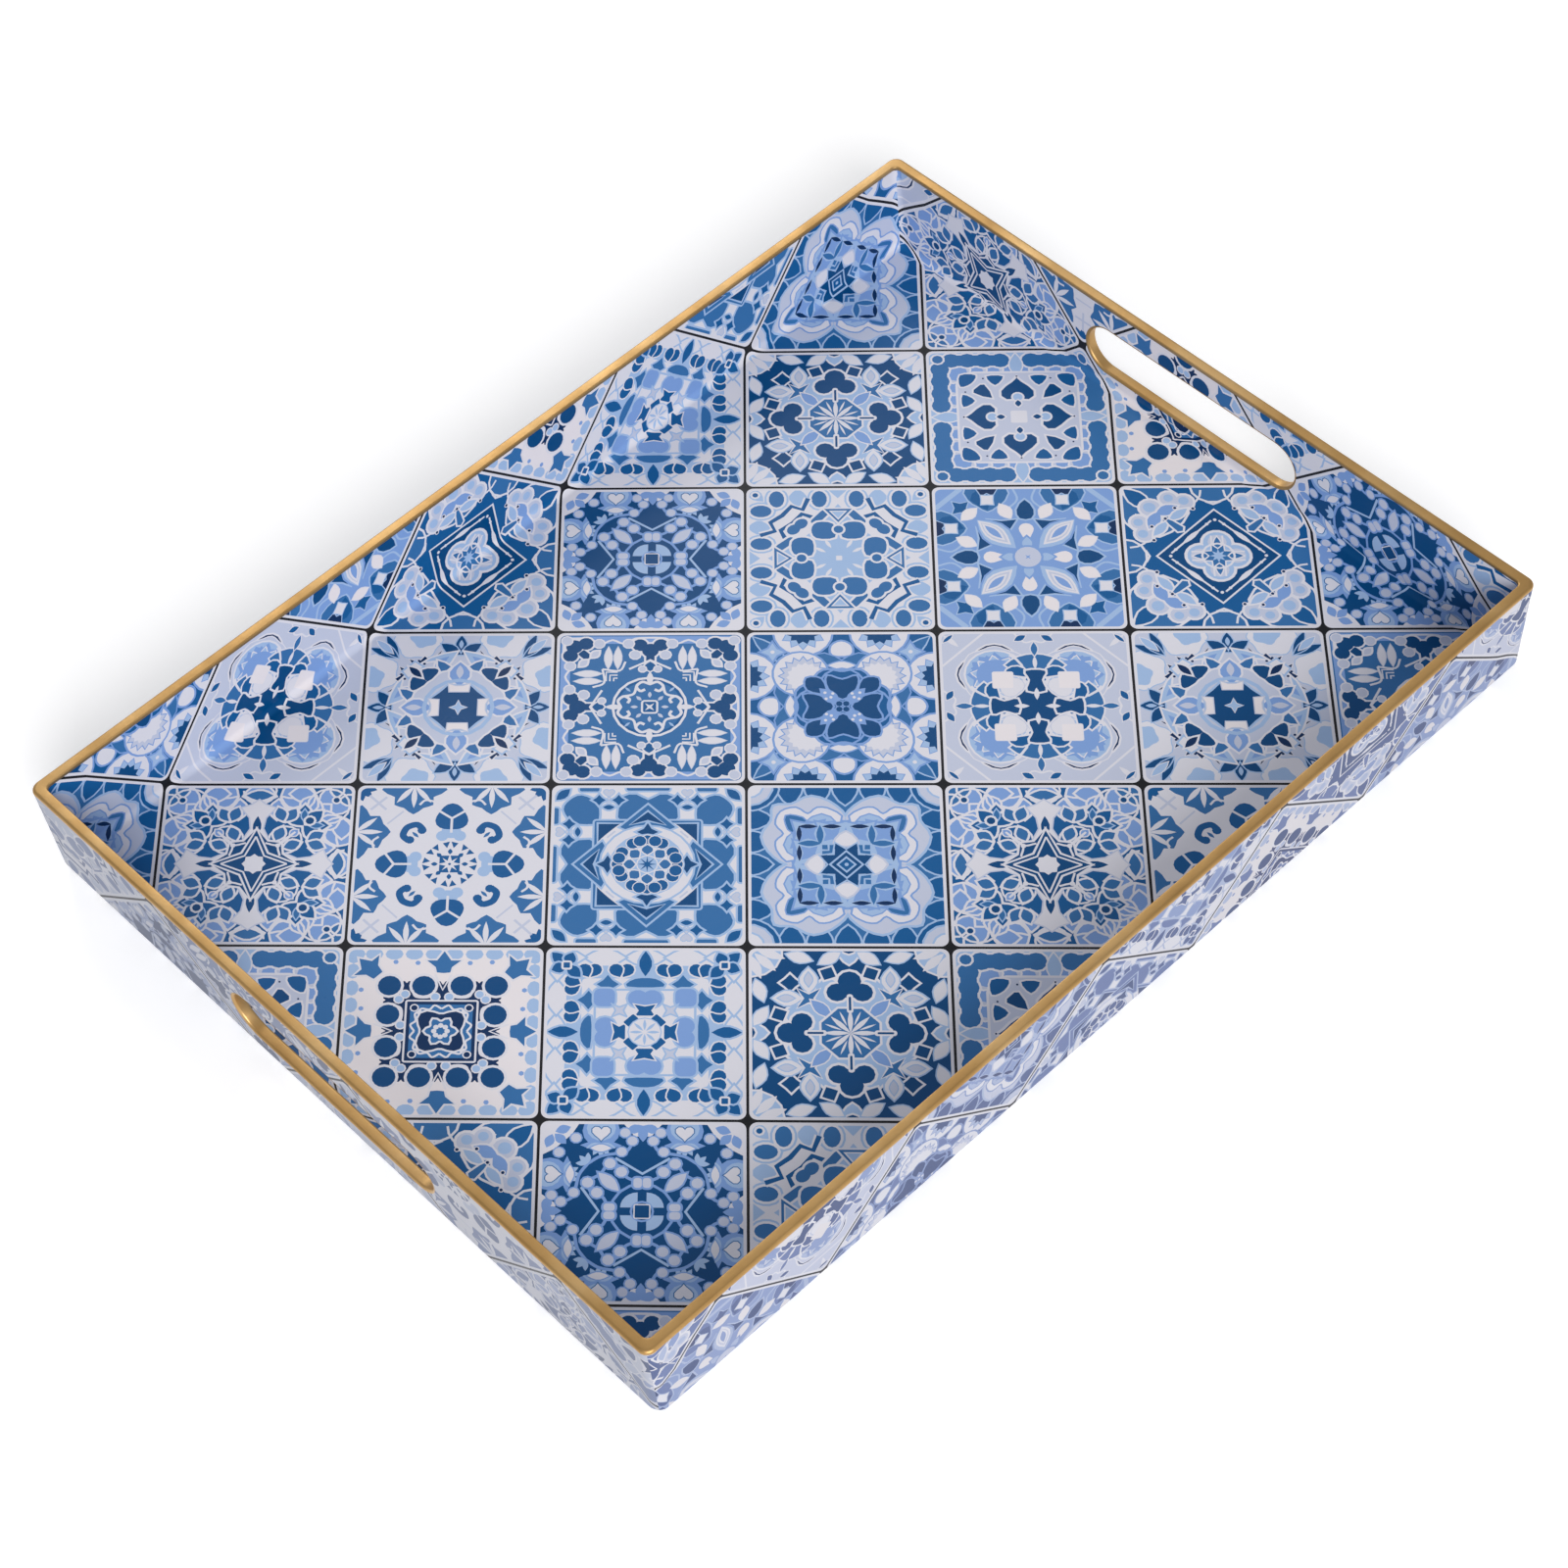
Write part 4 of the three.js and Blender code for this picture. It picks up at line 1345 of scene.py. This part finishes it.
def rim_band(gold):
    """The gold band on top of the walls."""
    loops = []
    for inset, height in rim_profile():
        corner = mix(OUTER_CORNER["rim"], INNER_CORNER["rim"], inset / WALL)
        loops.append(outline_loop(inset, height, corner))
    mesh = ring_mesh("rim_gold", loops)
    mesh.materials.append(gold)
    piece = add_piece("rim_gold", mesh)
    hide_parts("rim_band")


def lining_profile():
    """A lining's section: growth round the opening, face of the wall (0 outside), depth below it."""
    lip = []
    for sine, cosine in quarter_turn(7):
        lip.append((LINING_LIP * (1 - sine), LINING_ROUND * (1 - cosine) - GOLD_LIFT))
    section = [(growth, 0, depth) for growth, depth in lip]
    section += [(growth, 1, -depth) for growth, depth in reversed(lip)]
    return section + [(LINING, 1, -LINING_DEPTH), (LINING, 0, LINING_DEPTH)]


def slot_lining(side, gold):
    """One hand slot's gold lining, rounded over towards both faces of the wall."""
    loops = []
    for growth, face, depth in lining_profile():
        loop = []
        for point in slot_outline(growth, 24):
            outer = OUTER_DRAFT * (WALL_TOP - point.imag) / OUTER_RISE
            inner = WALL + INNER_DRAFT * (WALL_TOP - point.imag) / INNER_RISE
            inset = mix(outer, inner, face) + depth
            loop.append(Vector((side * (HALF_LENGTH - inset), point.real, point.imag)))
        loops.append(loop if side > 0 else loop[::-1])
    name = "right" if side > 0 else "left"
    mesh = ring_mesh(f"slot_gold_{name}", loops)
    mesh.materials.append(gold)
    piece = add_piece(f"slot_gold_{name}", mesh)
    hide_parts(f"slot_lining_{name}")


def foot_pad(node, rubber):
    """A round anti-slip pad with a soft edge."""
    low, high = (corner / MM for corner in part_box(node))
    middle = (low + high) / 2
    radius = (high.x - low.x) / 2
    section = [(radius / 2, low.z), (radius - PAD_EDGE, low.z), (radius - 0.1, low.z + 0.1)]
    section += [(radius, low.z + PAD_EDGE), (radius, high.z - 0.02)]
    pad = bmesh.new()
    loops = []
    for reach, height in section:
        points = [complex(middle.x, middle.y) + point for point in disc(0, reach, steps=PAD_STEPS)]
        loops.append([pad.verts.new(Vector((point.real, point.imag, height)) * MM) for point in points])
    for lower, upper in zip(loops, loops[1:]):
        for index in range(PAD_STEPS):
            after = (index + 1) % PAD_STEPS
            pad.faces.new((lower[index], lower[after], upper[after], upper[index]))
    pad.faces.new(loops[0][::-1])
    pad.faces.new(loops[-1])
    mesh = bpy.data.meshes.new(f"{node}_rubber")
    pad.to_mesh(mesh)
    pad.free()
    mesh.materials.append(rubber)
    piece = add_piece(f"{node}_rubber", mesh)
    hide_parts(node)


# ---------------------------------------------------------------- materials


def linear(red, green, blue):
    """A colour given in 0 to 255, as a linear colour with full opacity."""
    def straight(value):
        share = value / 255
        return share / 12.92 if share <= 0.04045 else ((share + 0.055) / 1.055) ** 2.4

    return (straight(red), straight(green), straight(blue), 1.0)


class Surface:
    """A procedural material and the few node patterns that the tray's surfaces share."""

    def __init__(self, name, **values):
        self.material = bpy.data.materials.new(name)
        self.material.use_nodes = True
        self.tree = self.material.node_tree
        self.shader = self.tree.nodes["Principled BSDF"]
        self.place = self.tree.nodes.new("ShaderNodeTexCoord").outputs["Object"]
        for socket, value in values.items():
            self.shader.inputs[socket.replace("_", " ")].default_value = value

    def noise(self, scale, detail=3.0):
        """Smooth noise with so many waves per metre."""
        noise = self.tree.nodes.new("ShaderNodeTexNoise")
        noise.inputs["Scale"].default_value = scale
        noise.inputs["Detail"].default_value = detail
        self.tree.links.new(self.place, noise.inputs["Vector"])
        return noise.outputs["Fac"]

    def spread(self, source, low, high, start=0.3, end=0.7):
        """Spreads a pattern between two values."""
        spread = self.tree.nodes.new("ShaderNodeMapRange")
        inputs = zip(("From Min", "From Max", "To Min", "To Max"), (start, end, low, high))
        for socket, value in inputs:
            spread.inputs[socket].default_value = value
        self.tree.links.new(source, spread.inputs["Value"])
        return spread.outputs["Result"]

    def tint(self, source, *stops):
        """Turns a pattern into colours."""
        ramp = self.tree.nodes.new("ShaderNodeValToRGB")
        elements = ramp.color_ramp.elements
        while len(elements) < len(stops):
            elements.new(0.5)
        for element, (position, colour) in zip(elements, stops):
            element.position = position
            element.color = colour
        self.tree.links.new(source, ramp.inputs["Fac"])
        self.set("Base Color", ramp.outputs["Color"])

    def set(self, socket, source):
        self.tree.links.new(source, self.shader.inputs[socket])

    def bump(self, source, strength, height):
        bump = self.tree.nodes.new("ShaderNodeBump")
        bump.inputs["Strength"].default_value = strength
        bump.inputs["Distance"].default_value = height
        self.tree.links.new(source, bump.inputs["Height"])
        self.set("Normal", bump.outputs["Normal"])


def ink(name, colour):
    """Printed film with a clear satin face: faint smears in its gloss, and a slight orange peel."""
    surface = Surface(name, Base_Color=linear(*colour), Specular_IOR_Level=0.15)
    surface.set("Roughness", surface.spread(surface.noise(14, 4.0), 0.26, 0.4))
    surface.bump(surface.noise(260, 2.0), 0.12, 0.0004)
    return surface.material


def gold_finish():
    """Satin gold foil with a fine bump and slightly uneven tone."""
    surface = Surface("gold", Metallic=0.75)
    stops = (0.25, linear(172, 133, 78)), (0.5, linear(186, 148, 93)), (0.8, linear(202, 168, 117))
    surface.tint(surface.noise(38, 5.0), *stops)
    surface.set("Roughness", surface.spread(surface.noise(60, 4.0), 0.34, 0.5))
    surface.bump(surface.noise(420, 3.0), 0.15, 0.0003)
    return surface.material


def moulded_plastic():
    surface = Surface("moulded_plastic")
    surface.tint(surface.noise(30), (0.3, linear(208, 208, 205)), (0.7, linear(220, 220, 217)))
    surface.set("Roughness", surface.spread(surface.noise(90), 0.45, 0.6))
    surface.bump(surface.noise(900, 2.0), 0.2, 0.0002)
    return surface.material


def backing_sheet():
    """Plain matt sheet with a pressed grain."""
    surface = Surface("backing_sheet")
    surface.tint(surface.noise(120, 6.0), (0.3, linear(222, 218, 210)), (0.7, linear(234, 231, 224)))
    surface.set("Roughness", surface.spread(surface.noise(200), 0.6, 0.75))
    surface.bump(surface.noise(1500, 3.0), 0.35, 0.0004)
    return surface.material


def bare_film():
    """The film under its print."""
    surface = Surface("bare_film")
    surface.tint(surface.noise(20), (0.3, linear(196, 202, 220)), (0.7, linear(206, 211, 226)))
    surface.set("Roughness", surface.spread(surface.noise(40), 0.3, 0.42))
    return surface.material


def pad_rubber():
    """Fine-celled foam rubber."""
    surface = Surface("pad_rubber")
    surface.tint(surface.noise(700, 4.0), (0.35, linear(34, 34, 36)), (0.7, linear(58, 58, 60)))
    surface.set("Roughness", surface.spread(surface.noise(400), 0.8, 0.95))
    surface.bump(surface.noise(2600, 2.0), 0.5, 0.0004)
    return surface.material


def dress(node, material):
    """Gives a CAD node its material."""
    slots = NODES[node].data.materials
    slots.clear()
    slots.append(material)


# ---------------------------------------------------------------- camera, light and floor

CAMERA_PLACE = (-0.5481, -0.6766, 1.1300)
CAMERA_HEADING, CAMERA_DIP, CAMERA_ROLL = 51.3, 52.69, -6.34  # degrees; the heading is from +X
CAMERA_ANGLE = 23.55
FLOOR_REACH = 6.0


def add_camera():
    """The camera looks down on the tray from the front, to the left of it."""
    data = bpy.data.cameras.new("camera")
    data.sensor_fit = "HORIZONTAL"
    data.angle = math.radians(CAMERA_ANGLE)
    camera = bpy.data.objects.new("camera", data)
    heading, dip, roll = (math.radians(angle) for angle in (CAMERA_HEADING, CAMERA_DIP, CAMERA_ROLL))
    turn = Matrix.Rotation(heading - math.pi / 2, 4, "Z")
    turn = turn @ Matrix.Rotation(math.pi / 2 - dip, 4, "X") @ Matrix.Rotation(roll, 4, "Z")
    camera.matrix_world = Matrix.Translation(CAMERA_PLACE) @ turn
    bpy.context.scene.collection.objects.link(camera)
    bpy.context.scene.camera = camera


def add_area(name, place, target, size, power):
    """A round soft light that faces a target."""
    data = bpy.data.lights.new(name, "AREA")
    data.shape = "DISK"
    data.size = size
    data.energy = power
    light = bpy.data.objects.new(name, data)
    light.location = place
    light.rotation_euler = (Vector(target) - Vector(place)).to_track_quat("-Z", "Y").to_euler()
    bpy.context.scene.collection.objects.link(light)


def add_studio():
    """A pale, faintly glowing floor under soft light: a low key by the camera, a softbox behind."""
    world = bpy.data.worlds.new("studio")
    world.use_nodes = True
    background = world.node_tree.nodes["Background"]
    background.inputs["Color"].default_value = (1.0, 1.0, 1.0, 1.0)
    background.inputs["Strength"].default_value = 0.36
    bpy.context.scene.world = world
    add_area("key", (-1.4, -2.5, 1.9), (0, 0, 0), 2.0, 105)
    add_area("back", (0.8, 1.45, 1.2), (0.1, 0.15, 0), 1.2, 13)
    corners = [(x * FLOOR_REACH, y * FLOOR_REACH, 0) for x, y in ((-1, -1), (1, -1), (1, 1), (-1, 1))]
    mesh = bpy.data.meshes.new("studio_floor")
    mesh.from_pydata(corners, [], [(0, 1, 2, 3)])
    floor = bpy.data.objects.new("studio_floor", mesh)
    bpy.context.scene.collection.objects.link(floor)
    surface = Surface("studio_floor", Roughness=0.9, Emission_Color=(1, 1, 1, 1), Emission_Strength=0.28)
    surface.tint(surface.noise(3.0), (0.3, (0.86, 0.86, 0.87, 1)), (0.7, (0.88, 0.88, 0.89, 1)))
    mesh.materials.append(surface.material)


# ---------------------------------------------------------------- the tray


def build_tray():
    # The side and end inks are the darker, greyer outer copies: painted shade and painted haze.
    inner_inks, side_inks_painted_shade, end_inks_painted_shade = [
        [ink(f"{place}_ink_{name}", colours[column]) for name, colours in INK_COLOURS.items()]
        for column, place in enumerate(("inner", "side", "end"))
    ]
    inner_artwork(inner_inks)
    outer_artwork(side_inks_painted_shade + end_inks_painted_shade)
    gold = gold_finish()
    rim_band(gold)
    for side in (-1, 1):
        slot_lining(side, gold)
    rubber = pad_rubber()
    for end in ("left", "right"):
        for edge in ("front", "back"):
            foot_pad(f"foot_pad_{end}_{edge}", rubber)
    dress("tray_core", moulded_plastic())
    dress("base_panel", backing_sheet())
    film = bare_film()
    dress("inner_print", film)
    dress("outer_print", film)


add_camera()
add_studio()
build_tray()
bpy.context.scene.view_settings.view_transform = "Standard"
